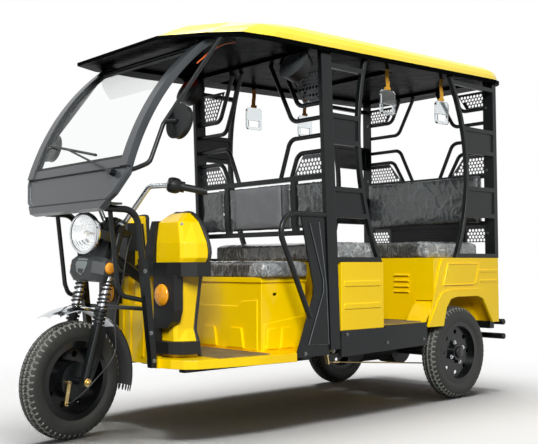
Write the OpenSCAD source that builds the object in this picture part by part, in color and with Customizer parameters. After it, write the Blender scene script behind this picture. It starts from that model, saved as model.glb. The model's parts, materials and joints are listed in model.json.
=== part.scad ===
// Electric passenger tricycle: a steered front wheel, a driver seat and two facing benches under a
// hard roof. Stations run along +X from the rear axle; +Y is the left side, +Z is up, in millimetres.

/* [Wheels] */
// Distance between the front and rear axles
wheelbase = 2125; // [2050:5:2200]
// Outer diameter of a tyre
tyre_d = 500; // [490:2:510]
// Width of a tyre
tyre_w = 95; // [88:1:98]
// Diameter of the rim under the tyre bead
rim_d = 305; // [300:1:308]

/* [Steering] */
// Lean of the steering axis from the vertical, in degrees
rake = 15; // [14:0.5:16]
// Distance of the fork tubes ahead of the steering axis
fork_offset = 35; // [32:1:38]
// Half the distance between the fork tubes
fork_half = 85; // [83:1:88]
// Turn of the handlebar as the vehicle stands, in degrees to the left
steer_rest = 9.6; // [0:0.2:12]
// Radius of the handlebar tube
bar_r = 11; // [10:0.5:12]

/* [Body] */
// Half the width of the body sides
body_half = 503; // [501:1:506]
// Height of the driver floor
floor_z = 335; // [330:1:340]
// Height of the passenger floor
deck_z = 430; // [424:1:436]
// Height of the belt line over the rear wheels
belt_z = 768; // [762:1:774]
// Height of the top of the front bench side panels
bench_z = 745; // [740:1:750]
// Half the width of the roof
roof_half = 520; // [515:1:525]
// Height of the roof rim above the rear axle
roof_z0 = 1769; // [1750:1:1790]
// Fall of the roof towards the front, in degrees
roof_fall = 1.77; // [1:0.1:2.2]
// Radius of the cabin tubes
rail_r = 11; // [10:0.5:12]

/* [Fits] */
// Gap between pieces that are seated on each other
seat = 0.3; // [0.2:0.05:0.4]
// Radial clearance of a turning fit
run = 0.05; // [0.02:0.01:0.08]

/* [Hidden] */
// Facets used for previews only; true curves are kept
$fn = 48;
// Radius of a tyre, which is also the height of the axles
axle_z = tyre_d / 2;
// Radius of the rim under the bead
rim_r = rim_d / 2;
// Reach of the rearmost bumper face behind the rear axle
rear_reach = 438;
// Reach of the steered front tyre ahead of its axle
front_reach = tyre_d / 2 * cos(steer_rest);
// Station of the middle of the length
mid_x = (wheelbase + front_reach - rear_reach) / 2;
// Foot of the steering axis beside the front axle
axis_x = wheelbase - fork_offset * cos(rake);
axis_z = axle_z - fork_offset * sin(rake);
// Distance between the rear tyre centres, inside the body sides
track = 2 * (body_half - 63);
// Inner wall of a rear wheel well
well_in = track / 2 - 68;
// Half the width over the floor edges
sill_half = body_half - 23;
// Half the outer width of the chassis rails and their inner face
rail_in = 230;
rail_out = 270;
// Sheet thickness of body panels
skin = 8;
// Front face of the driver floor behind the front wheel
floor_front = 1782;
// Station and lean of the middle pillar posts
b_foot = 1009;
b_lean = 2.2;
// Station of the rear pillar posts
c_post = -350;
// Half widths of the middle and rear pillar posts along the length
b_half = 34;
c_half = 18;
// Inner and outer faces of the posts
post_in = body_half - 28;
post_out = body_half - 3;
// Windscreen arc: radius, end angles, half width, and its centre set from the foot of the glass
glass_r = 1121;
glass_low = 19.6;
glass_high = 50.5;
glass_half = 365;
glass_x = 2085 - glass_r * cos(glass_low);
glass_z = 1174 - glass_r * sin(glass_low);
// Reach of the cowl and of the mirror bars beyond the side of the glass
cowl_half = glass_half + 65;
bar_y = glass_half + 111;

// Rim height of the roof at a station
function roof_z(x) = roof_z0 - x * tan(roof_fall);
// Station of the middle post at a height
function b_x(z) = b_foot + (z - floor_z) * tan(b_lean);
function unit(v) = v / norm(v);
// Smooth curve through a list of points, with k steps a span
function smooth(p, k) = concat([for (i = [0 : len(p) - 2], s = [0 : k - 1]) curve_at(p, i, s / k)],
    [p[len(p) - 1]]);
function curve_at(p, i, t) = let (a = p[max(i - 1, 0)], b = p[i], c = p[i + 1], d = p[min(i + 2,
    len(p) - 1)])
    0.5 * (2 * b + (c - a) * t + (2 * a - 5 * b + 4 * c - d) * t * t + (3 * b - a - 3 * c + d) * t * t * t);
// Point on the windscreen arc at an angle and a radial offset
function on_glass(a, out = 0) = [glass_x + (glass_r + out) * cos(a), glass_z + (glass_r + out) * sin(a)];

// Moves stations so that the middle of the length is at the origin
module placed() {
    translate([-mid_x, 0, 0]) children();
}

module both_sides() {
    children();
    mirror([0, 1, 0]) children();
}

module mirrored_across() {
    children();
    mirror([1, 0, 0]) children();
}

// Stands a side-view profile up and gives it a width from y0 to y1
module side_slab(y0, y1) {
    translate([0, y1, 0]) rotate([90, 0, 0]) linear_extrude(y1 - y0) children();
}

// Box given by its two corners
module block(a, b) {
    translate(a) cube(b - a);
}

// Round bar between two points
module rod(a, b, r) {
    d = b - a;
    translate(a) rotate([0, acos(d[2] / norm(d)), atan2(d[1], d[0])]) cylinder(r = r, h = norm(d));
}

// Bend of a tube at point p, from direction d1 into direction d2
module elbow(p, d1, d2, bend, r) {
    turn = acos(d1 * d2);
    axis = unit(cross(d1, d2));
    inward = cross(axis, d1);
    c = p - bend * tan(turn / 2) * d1 + bend * inward;
    multmatrix([[-inward[0], d1[0], axis[0], c[0]],
        [-inward[1], d1[1], axis[1], c[1]],
        [-inward[2], d1[2], axis[2], c[2]],
        [0, 0, 0, 1]])
        rotate_extrude(angle = turn) translate([bend, 0]) circle(r + seat);
}

// Length cut from a straight run beside a bend
function bend_cut(pts, i, bend) = (i == 0 || i == len(pts) - 1) ? 0 :
    bend * tan(acos(unit(pts[i] - pts[i - 1]) * unit(pts[i + 1] - pts[i])) / 2) - 2;

// Round tube through a list of points with rounded bends
module bent_tube(pts, r, bend) {
    n = len(pts);
    for (i = [0 : n - 2]) {
        d = unit(pts[i + 1] - pts[i]);
        rod(pts[i] + bend_cut(pts, i, bend) * d, pts[i + 1] - bend_cut(pts, i + 1, bend) * d, r);
    }
    for (i = [1 : n - 2]) elbow(pts[i], unit(pts[i] - pts[i - 1]), unit(pts[i + 1] - pts[i]), bend, r);
}

// Closed skin through rings of equal point count, lowest ring first, counter-clockwise from above; the lowest
// ring of a form that is alike on both sides may be closed by strips across it
module loft(rings, strips = false) {
    n = len(rings[0]);
    m = len(rings);
    polyhedron([for (ring = rings) each ring], concat(
        strips ? [for (j = [0 : n / 2 - 2]) [j, j + 1, n - 2 - j, n - 1 - j]] : [[for (j = [0 : n - 1]) j]],
        [[for (j = [0 : n - 1]) (m - 1) * n + n - 1 - j]],
        [for (i = [0 : m - 2], j = [0 : n - 1]) [i * n + j, (i + 1) * n + j, (i + 1) * n + (j + 1) % n]],
        [for (i = [0 : m - 2], j = [0 : n - 1]) [i * n + j, (i + 1) * n + (j + 1) % n,
            i * n + (j + 1) % n]]));
}

// Round cord along points; the side vector is never parallel to the cord
module cord(p, r, side) {
    n = len(p);
    k = 8;
    points = [for (i = [0 : n - 1]) let (d = unit(p[min(i + 1, n - 1)] - p[max(i - 1, 0)]),
        u = unit(cross(side, d)), w = cross(u, d))
        each [for (j = [0 : k - 1]) p[i] + r * (cos(360 * j / k) * u + sin(360 * j / k) * w)]];
    polyhedron(points, concat(
        [[for (j = [0 : k - 1]) j]],
        [[for (j = [0 : k - 1]) (n - 1) * k + k - 1 - j]],
        [for (i = [0 : n - 2], j = [0 : k - 1]) [i * k + j, (i + 1) * k + j, (i + 1) * k + (j + 1) % k]],
        [for (i = [0 : n - 2], j = [0 : k - 1]) [i * k + j, (i + 1) * k + (j + 1) % k,
            i * k + (j + 1) % k]]));
}

// Keeps what lies below the roof rim
module under_roof() {
    intersection() {
        children();
        side_slab(-700, 700) roof_side(seat);
    }
}

// Side view of the space below the roof rim
module roof_side(gap) {
    polygon([[-700, 0], [2600, 0], [2600, roof_z(2600) - gap - (2600 - visor_x) * visor_under],
        [visor_x - 1, roof_z(visor_x) - gap], [-700, roof_z(-700) - gap]]);
}

// Steering frame: Z along the steering axis from its foot, X ahead, turned as the vehicle stands
module steered() {
    placed() head_axis() rotate([0, 0, steer_rest]) children();
}

// Fixed frame of the steering head, Z along the steering axis from its foot
module head_axis() {
    translate([axis_x, 0, axis_z]) rotate([0, -rake, 0]) children();
}

// Frame of the middle pillar plane, Z along the posts from the driver floor
module b_plane() {
    translate([b_foot, 0, floor_z]) rotate([0, b_lean, 0]) children();
}

// Wheels

module tyre() {
    rotate([-90, 0, 0]) rotate_extrude() difference() {
        union() {
            translate([axle_z - tyre_w / 2, 0]) circle(tyre_w / 2);
            translate([rim_r, -34]) square([42, 68]);
        }
        for (w = [-16, 12]) translate([axle_z - 5, w]) square([10, 4]);
    }
}

// Barrel and flanges of a steel wheel, as a section
module rim_section() {
    translate([rim_r - 9, -38]) square([9 - seat, 76]);
    for (w = [-38, 34.6]) translate([rim_r - 9, w]) square([24, 3.4]);
}

module rear_wheel_steel() {
    difference() {
        rotate([-90, 0, 0]) rotate_extrude() {
            rim_section();
            translate([40, 6]) square([rim_r - 44, 5]);
            translate([15 + run, -46]) square([30 - run, 70]);
            translate([0, 24]) square([45, 10]);
            translate([68, -44]) square([12, 52]);
        }
        for (a = [0 : 45 : 315]) rotate([0, a, 0]) translate([112, 0, 0]) rotate([-90, 0,
            0]) cylinder(r = 13, h = 40);
    }
    for (a = [22.5 : 90 : 300]) rotate([0, a, 0]) translate([56.5, 10, 0]) rotate([-90, 0,
        0]) cylinder(r = 10, h = 13, $fn = 6);
}

module front_wheel_steel() {
    difference() {
        rotate([-90, 0, 0]) rotate_extrude() {
            rim_section();
            translate([36, -24]) square([rim_r - 40, 5]);
            translate([10 + run, -40]) square([30 - run, 66]);
            translate([66, -24]) square([14, 50]);
        }
        for (a = [0 : 45 : 315]) rotate([0, a, 0]) translate([108, -40, 0]) rotate([-90, 0,
            0]) cylinder(r = 14, h = 60);
    }
}

module front_tyre() {
    color("#1d1d1e") steered() translate([fork_offset, 0, 0]) tyre();
}

module front_wheel() {
    color("#232426") steered() translate([fork_offset, 0, 0]) front_wheel_steel();
}

module rear_left_tyre() {
    color("#1d1d1e") placed() translate([0, track / 2, axle_z]) tyre();
}

module rear_left_wheel() {
    color("#232426") placed() translate([0, track / 2, axle_z]) rear_wheel_steel();
}

module rear_right_tyre() {
    color("#1d1d1e") placed() translate([0, -track / 2, axle_z]) tyre();
}

module rear_right_wheel() {
    color("#232426") placed() mirror([0, 1, 0]) translate([0, track / 2, axle_z]) rear_wheel_steel();
}

// Steering and fork

// Levels along the steering axis
leg_top = 311;
crown_low = 455;
crown_high = 485;
head_low = 491;
head_high = 640;
yoke_low = 646;
yoke_high = 672;
stem_r = 22;
tube_r = 16;
clamp_r = tube_r + 3;
leg_r = 19;
// Outer face of the fork at the front axle
boss_end = fork_half + 20;
// Back of the headlamp bowl
lamp_n = 93;
lamp_t = 630;

module steering_stem() {
    color("#1f2022") steered() {
        translate([0, 0, crown_low]) cylinder(r = stem_r, h = yoke_high + 20 - crown_low);
        for (level = [[crown_low, crown_high], [yoke_low, yoke_high]])
            block([-30, -fork_half - 16, level[0]], [fork_offset + 22, fork_half + 16, level[1]]);
        for (y = [-fork_half, fork_half])
            translate([fork_offset, y, crown_low]) cylinder(r = clamp_r, h = yoke_high + 12 - crown_low);
        difference() {
            block([-22, -34, yoke_high - 1], [30, 34, 724]);
            rod([0, -40, 705], [0, 40, 705], bar_r + seat);
        }
    }
}

module fork_tubes() {
    color("#c4c7ca") steered() for (y = [-fork_half, fork_half])
        translate([fork_offset, y, leg_top + seat]) cylinder(r = tube_r,
            h = crown_low - leg_top - 2 * seat);
}

// Coil of round wire around the Z axis
module coil(radius, wire, height, turns) {
    steps = 12;
    sides = 6;
    n = turns * steps;
    rise = height - 2 * wire;
    points = [for (i = [0 : n], j = [0 : sides - 1])
        let (a = 360 * i / steps, b = 360 * j / sides, r = radius + wire * cos(b))
        [r * cos(a), r * sin(a), wire + rise * i / n + wire * sin(b)]];
    polyhedron(points, concat(
        [[for (j = [0 : sides - 1]) j]],
        [[for (j = [0 : sides - 1]) n * sides + sides - 1 - j]],
        [for (i = [0 : n - 1], j = [0 : sides - 1])
            [i * sides + j, (i + 1) * sides + j, (i + 1) * sides + (j + 1) % sides,
                i * sides + (j + 1) % sides]]));
}

module fork_springs() {
    color("#2b2c2e") steered() for (y = [-fork_half, fork_half])
        translate([fork_offset, y, leg_top + seat]) coil(22, 4, crown_low - leg_top - 2 * seat, 7);
}

module fork_legs() {
    color("#1f2022") steered() translate([fork_offset, 0, 0]) {
        for (y = [-fork_half, fork_half]) translate([0, y, 0]) {
            translate([0, 0, -18]) cylinder(r = leg_r, h = leg_top + 18);
            for (rib = [11, 28, 45, 62]) translate([0, 0, leg_top - rib]) cylinder(r = 28, h = 11);
        }
        both_sides() side_slab(fork_half + 4, fork_half + 13)
            polygon([[18, -20], [-22, -26], [-36, 40], [-46, 110], [-48, 220], [-34, 244], [18, 244]]);
        both_sides() rod([0, fork_half - 10, 0], [0, boss_end, 0], 17);
        rod([0, -boss_end, 0], [0, boss_end, 0], 10);
        rod([0, 32, 0], [0, fork_half - 9, 0], 16);
        rod([0, 32, 0], [0, 38, 0], 78);
        rod([0, -fork_half + 9, 0], [0, -46, 0], 16);
    }
}

// Brake arm on the drum plate and the axle nuts
module brake_gear() {
    color("#c9b98a") steered() translate([fork_offset, 0, 0]) {
        rod([45, 38 + seat, -16], [45, 54, -16], 9);
        side_slab(43, 49) polygon([[36, -8], [54, -8], [42, -110], [26, -110]]);
        rod([34, 42, -102], [34, 54, -102], 8);
        both_sides() {
            rod([0, boss_end + seat, 0], [0, boss_end + 4, 0], 17);
            rod([0, boss_end + 2, 0], [0, boss_end + 20, 0], 8);
            translate([0, boss_end + 3, 0]) rotate([-90, 0, 0]) cylinder(r = 14, h = 10, $fn = 6);
        }
    }
}

// Route of the front brake cable from the yoke to the brake arm
brake_route = [[-20, fork_half + 19.4, 659], [-12, 108, 600], [-14, 112, 532], [-22, 112, 460], [-27,
    108, 395],
    [-28, 107, 325], [-34, 112, 262], [-48, 122, 206], [-58, 128, 158], [-48, 128, 112], [-20, 129, 66],
        [16, 131, 20],
    [48, 126, -28], [66, 96, -74], [70, 66, -98], [69.4, 57.4, -102]];

module brake_cable() {
    color("#1a1a1b") steered() cord(smooth(brake_route, 4), 3, [1, 0.3, 0.1]);
}

module front_mudguard() {
    color("#c9ccd0") steered() translate([fork_offset, 0, 0]) {
        rotate([90, 0, 0]) rotate([0, 0, 32 + rake]) rotate_extrude(angle = 75) guard_section();
        both_sides() block([-10, 50, 284], [10, fork_half - 28 - seat, 299]);
    }
}

// Crowned section of the front mudguard
module guard_section() {
    intersection() {
        translate([190, 0]) difference() {
            circle(123);
            circle(120);
        }
        translate([250, -58]) square([80, 116]);
    }
}

module mud_flap() {
    color("#26272a") steered() translate([fork_offset, 0, 0])
        rotate([90, 0, 0]) rotate([0, 0, 107.06 + rake]) rotate_extrude(angle = 53) guard_section();
}

// Half of the handlebar, from its end to the clamp
bar_half = [[-144, 372, 897], [-32, 282, 889], [20, 190, 868], [0, 62, 705]];

module handlebar() {
    color("#b9bcc0") steered() bent_tube(concat([for (p = bar_half) [p[0], -p[1], p[2]]],
        [for (i = [len(bar_half) - 1 : -1 : 0]) bar_half[i]]), bar_r, 32);
}

module grips() {
    grip_dir = unit(bar_half[0] - bar_half[1]);
    grip_end = bar_half[0];
    color("#1a1a1b") steered() both_sides() difference() {
        union() {
            rod(grip_end - 118 * grip_dir, grip_end + 4 * grip_dir, 16);
            rod(grip_end - 134 * grip_dir, grip_end - 96 * grip_dir, 24);
        }
        rod(grip_end - 140 * grip_dir, grip_end + seat * grip_dir, bar_r + 0.6);
    }
}

module headlamp() {
    color("#c9ccd0") steered() {
        translate([lamp_n, 0, lamp_t]) rotate([0, 90 + rake, 0]) difference() {
            union() {
                cylinder(r1 = 58, r2 = 86, h = 46);
                translate([0, 0, 46]) cylinder(r = 86, h = 16);
            }
            translate([0, 0, 12]) cylinder(r1 = 50, r2 = 80, h = 51);
        }
        both_sides() block([fork_offset + clamp_r + seat, 81, lamp_t - 32], [lamp_n + 54, 91, lamp_t + 8]);
    }
}

module headlamp_lens() {
    cap = 18;
    cap_r = (84 * 84 + cap * cap) / (2 * cap);
    color("#dfe6ea") steered() translate([lamp_n, 0, lamp_t]) rotate([0, 90 + rake, 0])
        translate([0, 0, 62 + seat]) rotate_extrude() intersection() {
            square([84, 40]);
            translate([0, cap + 4 - cap_r]) circle(cap_r, $fn = 240);
        }
}

module lamp_fascia() {
    gap = fork_offset + 22 + seat;
    color("#1c1c1e") steered() {
        difference() {
            loft([fascia_ring(421, 98, 104), fascia_ring(450, 112, 124), fascia_ring(500, 112, 128),
                fascia_ring(524, 100, 112)]);
            block([0, -boss_end, 400], [gap, boss_end, 540]);
            block([0, -fork_half - 27, 400], [fork_offset + 30, fork_half + 27, crown_low]);
        }
        block([gap + 0.5, -64, 512], [gap + 9, 64, 690]);
    }
}

// Outline of the fascia at a level, half width and reach ahead
function fascia_ring(t, half, ahead) = [[10, -half, t], [ahead - 34, -half, t], [ahead, -half + 44, t],
    [ahead, half - 44, t], [ahead - 34, half, t], [10, half, t]];

module fascia_signals() {
    color("#e8891a") steered() both_sides() translate([66, 112 + seat, 484])
        rotate([-90, 0, 0]) intersection() {
            cylinder(r = 26, h = 14);
            translate([0, 0, -16]) sphere(30);
        }
}

// Chassis

// Ends of the strut that carries the steering head
strut_low = [1712, 0, 640];
strut_high = [1945, 0, 786];

module chassis_frame() {
    color("#1e1f21") difference() {
        placed() {
            both_sides() {
                block([-340, rail_in, 345], [980, rail_out, 405]);
                block([940, rail_in, 265], [1722, rail_out, floor_z - 12]);
                block([940, rail_in, 265], [980, rail_out, 405]);
            }
            for (x = [-340, 300, 620]) block([x, -sill_half, 365], [x + 40, sill_half, 405]);
            block([940, seat - post_in, 365], [980, post_in - seat, 405]);
            for (x = [1090, 1400, 1682]) block([x, -400, 285], [x + 40, 400, floor_z - 12]);
            block([1682, -30, 285], [1742, 30, 668]);
            rod(strut_low, strut_high, 24);
            head_axis() translate([0, 0, head_low]) cylinder(r = 33, h = head_high - head_low);
        }
        placed() head_axis() translate([0, 0, head_low - 40]) cylinder(r = stem_r + run, h = 300);
    }
}

// Half plan of the driver floor
floor_plan = [[996, sill_half], [1262, sill_half], [1262, sill_half + 19], [1471, sill_half + 2], [1673,
    444], [1770, 422], [1815, 384],
    [1840, 330], [1852, 262], [floor_front, 190]];

// Front end of the passenger floor beside the middle posts
deck_front = b_x(405) - b_half - seat;

module full_plan(half) {
    polygon(concat(half, [for (i = [len(half) - 1 : -1 : 0]) [half[i][0], -half[i][1]]]));
}

module floor_pan() {
    color("#e9b72c") placed() difference() {
        union() {
            translate([0, 0, floor_z - 12 + seat]) linear_extrude(12 - seat) full_plan(floor_plan);
            translate([0, 0, floor_z - 38]) linear_extrude(27) difference() {
                full_plan([for (p = floor_plan) if (p[0] > 1250) p]);
                full_plan([[1200, sill_half - 12], [1471, sill_half - 12], [1673, 430], [1760, 410],
                    [1803, 376], [1828, 326], [1839, 255],
                    [1774, 175]]);
            }
            block([990, seat - post_in, floor_z - 12 + seat], [1002, post_in - seat, deck_z]);
            block([300, -sill_half, 405 + seat], [deck_front, sill_half, deck_z]);
            block([300, seat - post_in, 405 + seat], [990.5, post_in - seat, deck_z]);
        }
        block([1682 - 1, -31, 280], [1743, 31, 400]);
    }
}

// Lower and upper edges of the front apron
apron_low = floor_z - 38;
apron_top = 556;

module front_apron() {
    color("#e9b72c") placed() difference() {
        union() {
            block([floor_front + seat, -146, apron_low], [1790, 146, apron_top]);
            translate([0, 0, apron_low]) linear_extrude(42) full_plan([[floor_front + seat, 190],
                [1852 + seat, 262],
                [1852 + seat, 276], [1866, 276], [1866, 246], [1798, 180], [1788, 180]]);
            for (y = [-110, -50, 50, 110]) block([1789, y - 9, floor_z - 10], [1796, y + 9, 535]);
            block([1745, -100, apron_top - skin], [1786, 100, apron_top]);
            block([1745, -70, apron_top - skin], [1745 + skin, 70, 800]);
        }
        rod(strut_low, strut_high, 26);
        block([1700, -72, 680], [1800, -42, 725]);
        rod([1700, -57, 725], [1800, -57, 725], 15);
    }
}

// Plan sections of a leg shield: height, front, rear, inner side, outer front corner, outer rear edge
lobe_sections = [
    [335, 1775, 1675, 130, 276, 312],
    [405, 1770, 1668, 130, 268, 290],
    [455, 1768, 1664, 128, 262, 264],
    [560, 1770, 1662, 120, 272, 278],
    [690, 1775, 1660, 110, 288, 302],
    [765, 1778, 1658, 105, 325, 358],
    [830, 1776, 1658, 105, 320, 352],
    [922, 1762, 1660, 110, 288, 298],
    [966, 1692, 1662, 113, 226, 235]];

// Ring of a lobe, drawn in by an inset and open towards the rear by a reach
function lobe_ring(s, inset, reach) = let (z = s[0], f = s[1] - inset, r = s[2] - reach,
    i = s[3] + inset, c = s[4] - inset, o = s[5] - inset)
    [[r, i, z], [f - 14, i, z], [f, i + 16, z], [f, c - 14, z], [f - 12, c, z], [f - 0.55 * (f - s[2]),
        c + 0.8 * (o - c), z], [r, o, z]];

module lobe_outer() {
    loft([for (s = lobe_sections) lobe_ring(s[0] < 400 ? concat([s[0] + seat],
        [for (i = [1 : 5]) s[i]]) : s, 0, 0)]);
}

module lobe_inner() {
    loft([for (s = lobe_sections) lobe_ring(concat([s[0] + (s[0] < 400 ? 8 : (s[0] > 950 ? -8 : 0))],
        [for (i = [1 : 5]) s[i]]), 7, 30)]);
}

module leg_shields() {
    color("#e9b72c") placed() both_sides() difference() {
        lobe_outer();
        lobe_inner();
    }
}

module shield_trim() {
    color("#1c1c1e") placed() both_sides() difference() {
        union() {
            translate([0, 0, 684]) linear_extrude(62) polygon([[1750, 112], [1800, 112], [1806, 150],
                [1803, 250], [1784, 326],
                [1735, 374], [1666, 384], [1666, 300]]);
            translate([0, 0, floor_z + 16]) linear_extrude(54) polygon([[1750, 150], [1806, 150], [1812,
                176], [1806, 264],
                [1770, 322], [1690, 342], [1690, 270]]);
            translate([1755, 0, 0]) rotate([90, 0, 90]) linear_extrude(48) polygon([[150, 455], [246,
                462], [284, 490], [302, 540],
                [302, 690], [150, 690]]);
            block([1778, 152, floor_z + 60], [1800, 182, 470]);
            loft([inner_ring(700, 1798, 76, 137), inner_ring(800, 1797, 72, 137), inner_ring(930, 1777,
                96, 132)]);
        }
        lobe_outer();
    }
}

// Ring of the black flank beside a lobe: height, front, inner and outer side
function inner_ring(z, front, low, high) = [[1690, low, z], [front, low, z], [front, high, z], [1690,
    high, z]];

module signal_lamps() {
    color("#e8891a") placed() both_sides() translate([1803 + seat, 214, 604]) rotate([0, 90,
        0]) intersection() {
        cylinder(r = 48, h = 22);
        translate([0, 0, -46]) sphere(66);
    }
}

// Underside of the shelf behind the cowl lip
shelf_z = 983;

module crash_guard() {
    color("#1c1c1e") placed() {
        both_sides() {
            bent_tube([[2112, 250, shelf_z - 14 - 3 * seat], [1962, 250, shelf_z - 16], [1927, 250,
                735]], 14, 70);
            side_slab(234, 266) polygon([[1944, 760], [1912, 760], [1866 + seat, 345], [1866 + seat,
                300], [1892, 300], [1894, 345]]);
            bent_tube([[2073, 220, shelf_z - 1.8], [2031, 220, 650], [2012, 222, 606], [1912, 240, 584]],
                10, 36);
        }
        rod([1896, -250, 548], [1896, 250, 548], 9);
    }
}

// Front screen

module glass_arc(r0, r1, a0, a1) {
    far = glass_r * 2;
    translate([glass_x, glass_z]) intersection() {
        difference() {
            circle(glass_r + r1, $fn = 180);
            circle(glass_r + r0, $fn = 180);
        }
        polygon([[0, 0], [far * cos(a0), far * sin(a0)], [far * cos(a1), far * sin(a1)]]);
    }
}

// End angles of the lower bar of the screen frame
bar_low = glass_low - 2.6;
bar_high = glass_low - 0.6;

module windscreen_glass() {
    color("#cfd8dc") placed() side_slab(-glass_half, glass_half) glass_arc(0, 5, bar_high + 0.02,
        glass_high);
}

module windscreen_frame() {
    color("#1a1a1c") placed() under_roof() {
        both_sides() side_slab(glass_half + seat, glass_half + 52) glass_arc(-12, 20, bar_low, 60);
        side_slab(-glass_half - 10, glass_half + 10) glass_arc(-12, 14, glass_high + 0.02,
            glass_high + 1.6);
        side_slab(-glass_half - 10, glass_half + 10) glass_arc(-12, 14, bar_low, bar_high);
    }
}

// Lean of the cowl and the middle of its upper edge
cowl_lean = 19;
cowl_foot = on_glass(bar_low - 0.05, 5);

// Point on the cowl: across, up the panel, out of it
function on_cowl(p) = [cowl_foot[0] - sin(cowl_lean) * p[1] + cos(cowl_lean) * p[2], p[0],
    cowl_foot[1] + cos(cowl_lean) * p[1] + sin(cowl_lean) * p[2]];

// Frame of the cowl: X across, Y up the panel, Z out of it
module cowl_frame() {
    multmatrix([[0, -sin(cowl_lean), cos(cowl_lean), cowl_foot[0]], [1, 0, 0, 0],
        [0, cos(cowl_lean), sin(cowl_lean), cowl_foot[1]], [0, 0, 0, 1]]) children();
}

// Half outline of the cowl, from its upper corner to its lower edge
cowl_edge = [[cowl_half, 0], [cowl_half - 8, -30], [cowl_half - 62, -112], [300, -158]];

module cowl_panel() {
    color("#2a2b2e") placed() {
        cowl_frame() {
            translate([0, 0, -16]) linear_extrude(16) polygon(concat(cowl_edge,
                [for (i = [len(cowl_edge) - 1 : -1 : 0]) [-cowl_edge[i][0], cowl_edge[i][1]]]));
            translate([0, 0, -24]) linear_extrude(30) polygon([[-330, -138], [-294, -174], [294, -174],
                [330, -138]]);
            mirrored_across() bent_tube([for (p = cowl_edge) [p[0] - 14, p[1] - (p[1] == 0 ? 3 : -6),
                -6]], 13, 40);
        }
        block([2056, -290, shelf_z], [2134, 290, shelf_z + skin]);
    }
}

// Wiper: pivot on the cowl, end of the arm and ends of the blade on the glass as across, angle
wiper_pivot = [319, -22];
wiper_arm = [-140, 23.6];
wiper_blade = [[-334, 25.7], [138, 20.7]];

// Point above the glass: across and angle, distance out
function over_glass(p, out) = [on_glass(p[1], out)[0], p[0], on_glass(p[1], out)[1]];

module wiper() {
    pivot = concat(wiper_pivot, 18);
    color("#141415") placed() {
        rod(on_cowl(concat(wiper_pivot, seat)), on_cowl(concat(wiper_pivot, 26)), 14);
        rod(on_cowl(pivot), over_glass(wiper_arm, 19), 4.5);
        rod(over_glass(wiper_blade[0], 13), over_glass(wiper_blade[1], 13), 6);
    }
}

module mirrors() {
    color("#1a1a1c") placed() under_roof() both_sides() {
        bent_tube([[2088, cowl_half + 5, 1118], [2050, bar_y, 1140], [1985, bar_y, 1300], [1660,
            bar_y - 14, 1732]], 9, 40);
        rod([1975, bar_y, 1312], [1950, bar_y + 46, 1312], 8);
        translate([1950, bar_y + 46, 1312]) rotate([0, -100, 0]) cylinder(r1 = 74, r2 = 66, h = 26);
    }
}

// Roof

// Front and rear ends of the roof, the station between their insets, and the half plan from front to rear
roof_front = 1915;
roof_rear = 434;
roof_mid = 740;
roof_plan = [[roof_front, 330], [1744, 451], [1603, 500], [1440, roof_half], [-340, roof_half], [-392, 508],
    [-424, 476], [-roof_rear, 420]];
// Thickness of the rim, height of the crown, its share lost at the rear; start and slope of the visor
rim_t = 24;
roof_top = 124;
roof_sink = 0.15;
visor_x = 1584;
visor_drop = 0.1;
visor_tip = (roof_front - visor_x) * visor_drop - 8;
// Slope of the underside of the visor
visor_under = visor_tip / (roof_front - visor_x);

// Height of a roof level at a station
function roof_level(z, x) = rim_t
    + (z - rim_t) * (1 - roof_sink * (roof_front - x) / (roof_front + roof_rear))
    - max(0, x - visor_x) * visor_drop;

// Station drawn in from the front and the rear
function roof_in(x, front, rear) = x - (x > roof_mid ? front * (x - roof_mid) / (roof_front - roof_mid) :
    rear * (x - roof_mid) / (roof_rear + roof_mid));

// Full roof outline at a level, drawn in at the sides, the front and the rear
function roof_ring(z, side, front, rear) = let (half = [for (p = roof_plan) let (x = roof_in(p[0], front,
    rear))
    [x, p[1] * (roof_half - side) / roof_half, roof_level(z, x)]])
    concat(half, [for (i = [len(half) - 1 : -1 : 0]) [half[i][0], -half[i][1], half[i][2]]]);

// Frame of the roof, Z from its rim
module roof_frame() {
    placed() translate([0, 0, roof_z0]) rotate([0, roof_fall, 0]) children();
}

module roof_shell() {
    color("#f0c233") roof_frame() difference() {
        loft([roof_ring(rim_t + seat, 0, 26, 22), roof_ring(50, 3, 80, 26), roof_ring(78, 12, 170, 40),
            roof_ring(104, 40, 350, 70), roof_ring(roof_top, 120, 620, 150)], true);
        loft([roof_ring(20, 8, 40, 30), roof_ring(46, 11, 95, 34), roof_ring(72, 20, 190, 48),
            roof_ring(96, 48, 370, 78), roof_ring(roof_top - skin, 128, 640, 158)], true);
    }
}

module roof_liner() {
    color("#17171a") roof_frame() difference() {
        intersection() {
            translate([0, 0, -60]) linear_extrude(100) full_plan(roof_plan);
            side_slab(-roof_half - 1, roof_half + 1) polygon([[-roof_rear - 1, 0], [visor_x, 0],
                [roof_front + 1, -visor_tip],
                [roof_front + 1, rim_t - visor_tip - 8], [visor_x, rim_t], [-roof_rear - 1, rim_t]]);
        }
        for (span = [[1160, visor_x], [430, 1000], [-270, 350]])
            block([span[0], -380, -1], [span[1], 380, 14]);
    }
}

// Pillars

// Circle of the curved bow behind the middle post
bow_x = -513;
bow_z = 1368;
bow_r = 1344;

module b_ladder() {
    low = bench_z + seat;
    intersection() {
        union() {
            polygon([[b_x(floor_z) - b_half, floor_z + seat], [b_x(floor_z) + b_half, floor_z + seat],
                [b_x(1800) + b_half, 1800], [b_x(1800) - b_half, 1800]]);
            intersection() {
                translate([bow_x, bow_z]) difference() {
                    circle(bow_r + 11, $fn = 180);
                    circle(bow_r - 11, $fn = 180);
                }
                translate([600, low]) square([300, 1100]);
            }
            for (z = [low, 957, 1081, 1308, 1433, 1672]) difference() {
                translate([660, z]) square([b_x(z) - 660, 24]);
                translate([bow_x, bow_z]) circle(bow_r, $fn = 180);
            }
        }
        roof_side(seat);
    }
}

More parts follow.
